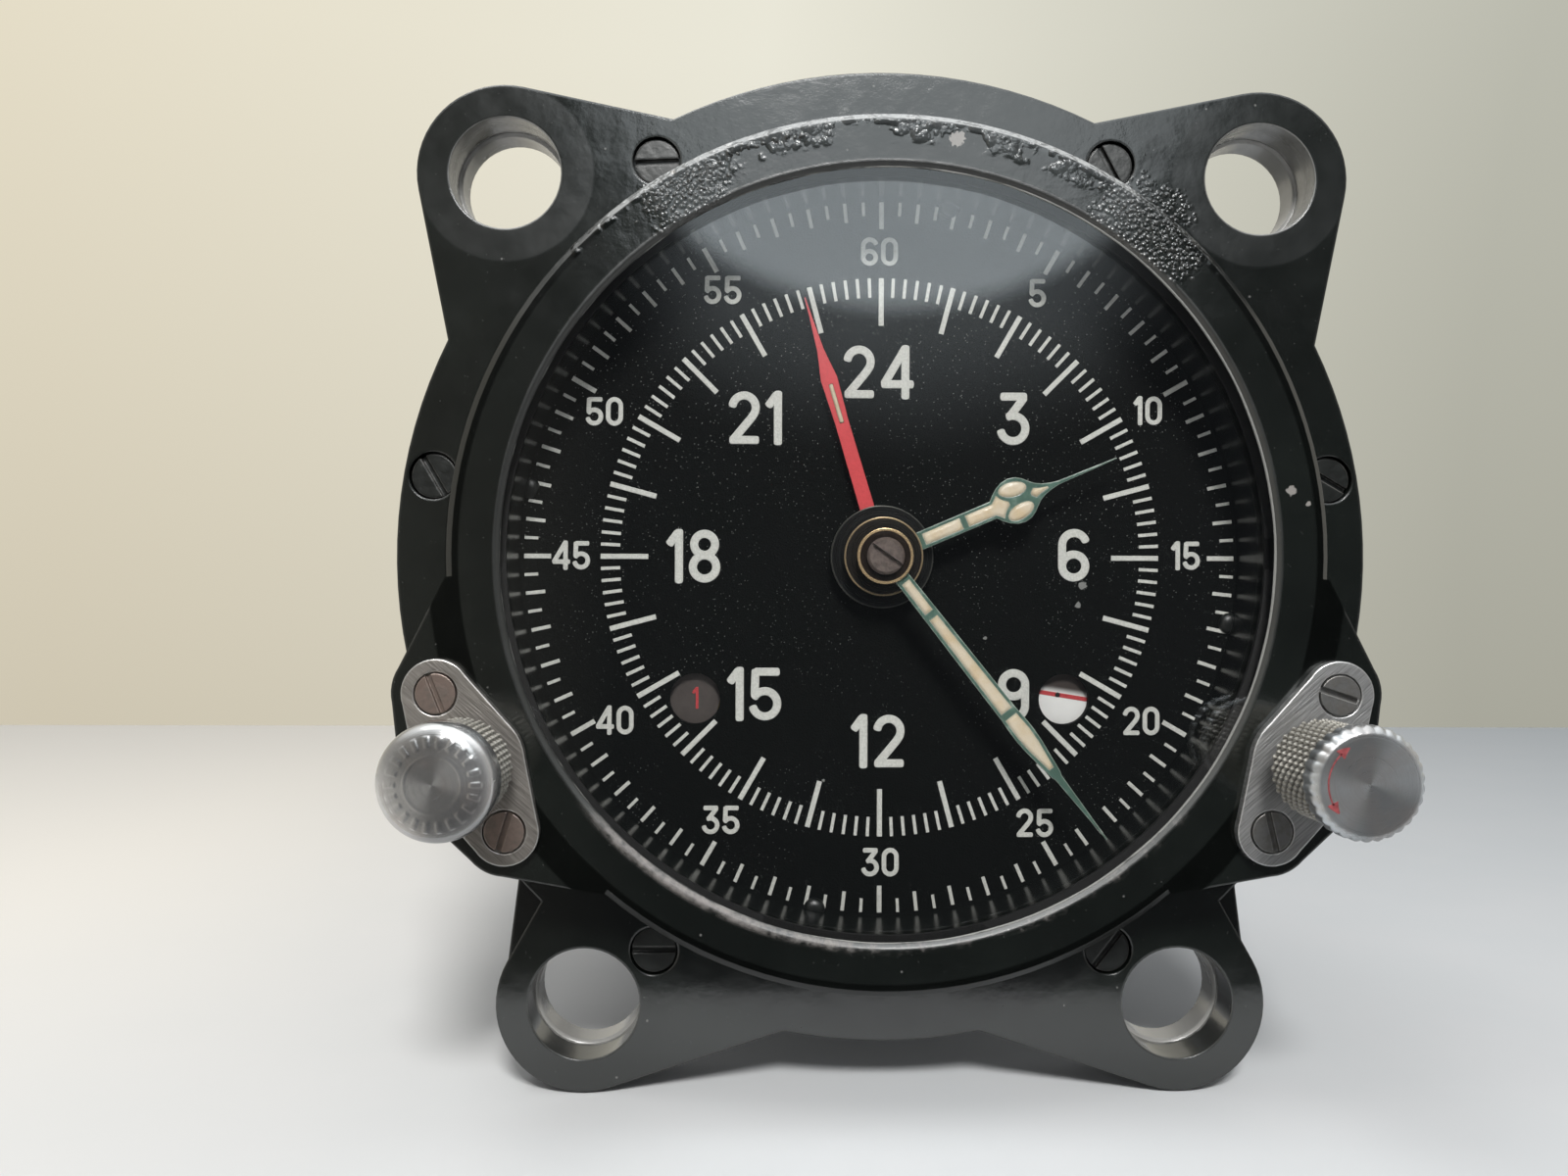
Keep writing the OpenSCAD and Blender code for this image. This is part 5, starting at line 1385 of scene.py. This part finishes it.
    def lamps(self, scene, s):
        self.lamp(
            scene, "key_lamp", "DISK", size=0.16, power=s.key_power,
            place=(0.02, -0.52, 0.42), turn=(51, 0, 2), shade=(1.0, 0.99, 0.97),
        )
        self.lamp(
            scene, "top_lamp", "SQUARE", size=0.3, power=s.top_power,
            place=(-0.25, -0.10, 0.70), turn=(8, -20, 0), shade=(1.0, 0.98, 0.95),
        )
        self.round_lamp(s)

    def lamp(self, scene, name, shape, size, power, place, turn, shade):
        """An area lamp with its size and place in metres, turned by degrees."""
        light = bpy.data.lights.new(name, "AREA")
        light.shape, light.size, light.energy, light.color = shape, size, power, shade
        made = bpy.data.objects.new(name, light)
        made.location = place
        made.rotation_euler = [math.radians(t) for t in turn]
        scene.collection.objects.link(made)

    def round_lamp(self, s):
        """A disc that only mirrors see, soft at its edge and with a weak halo."""
        centre, size, halo = np.array([48.0, -450.0, 281.0]), 160.0, 1.45
        turn = circle(72)
        points = centre + size * halo * np.stack([np.cos(turn), 0 * turn, np.sin(turn)], -1)
        made = Finish("round_lamp_glow", Base_Color=(0.0, 0.0, 0.0), Specular_IOR_Level=0.0, Emission_Strength=s.glow)
        x, _, z = made.axes()
        away = distance(x - centre[0], z - centre[2]) / size
        weak = (x - centre[0]).size().fall(70.0, 140.0) * 0.2
        made.set(Emission_Color=(0.90, 0.97, 1.0), Alpha=away.fall(0.92, 1.02) * 0.8 + away.fall(0.95, halo) * weak)
        sheet_from("round_lamp", (points * MM).tolist(), made.material, ("camera", "diffuse", "shadow"))


class CLOCK_PT_panel(bpy.types.Panel):
    """Lists the clock's operators"""

    bl_idname = "CLOCK_PT_panel"
    bl_label = "Panel Clock"
    bl_space_type = "VIEW_3D"
    bl_region_type = "UI"
    bl_category = "Panel Clock"

    def draw(self, context):
        for operator in OPERATORS:
            self.layout.operator(operator.bl_idname)


GROUPS = {
    "clock_dial": ClockDialSizes,
    "clock_knobs": ClockKnobSizes,
    "clock_colours": ClockColours,
    "clock_stage": ClockStageSizes,
}
OPERATORS = (
    CLOCK_OT_stage,
    CLOCK_OT_finishes,
    CLOCK_OT_dial_print,
    CLOCK_OT_dial_screws,
    CLOCK_OT_glass_bead,
    CLOCK_OT_paint_drops,
    CLOCK_OT_indicators,
    CLOCK_OT_second_lume,
    CLOCK_OT_knobs,
)


def register():
    for name, group in GROUPS.items():
        bpy.utils.register_class(group)
        setattr(bpy.types.Scene, name, PointerProperty(type=group))
    for kind in (*OPERATORS, CLOCK_PT_panel):
        bpy.utils.register_class(kind)


def unregister():
    for kind in (CLOCK_PT_panel, *reversed(OPERATORS)):
        bpy.utils.unregister_class(kind)
    for name, group in reversed(GROUPS.items()):
        delattr(bpy.types.Scene, name)
        bpy.utils.unregister_class(group)


def main():
    register()
    bpy.ops.clock.stage()
    bpy.ops.clock.finishes()
    bpy.ops.clock.dial_print()
    bpy.ops.clock.dial_screws()
    bpy.ops.clock.glass_bead()
    bpy.ops.clock.paint_drops()
    bpy.ops.clock.indicators()
    bpy.ops.clock.second_lume()
    bpy.ops.clock.knobs()


if __name__ == "__main__":
    main()
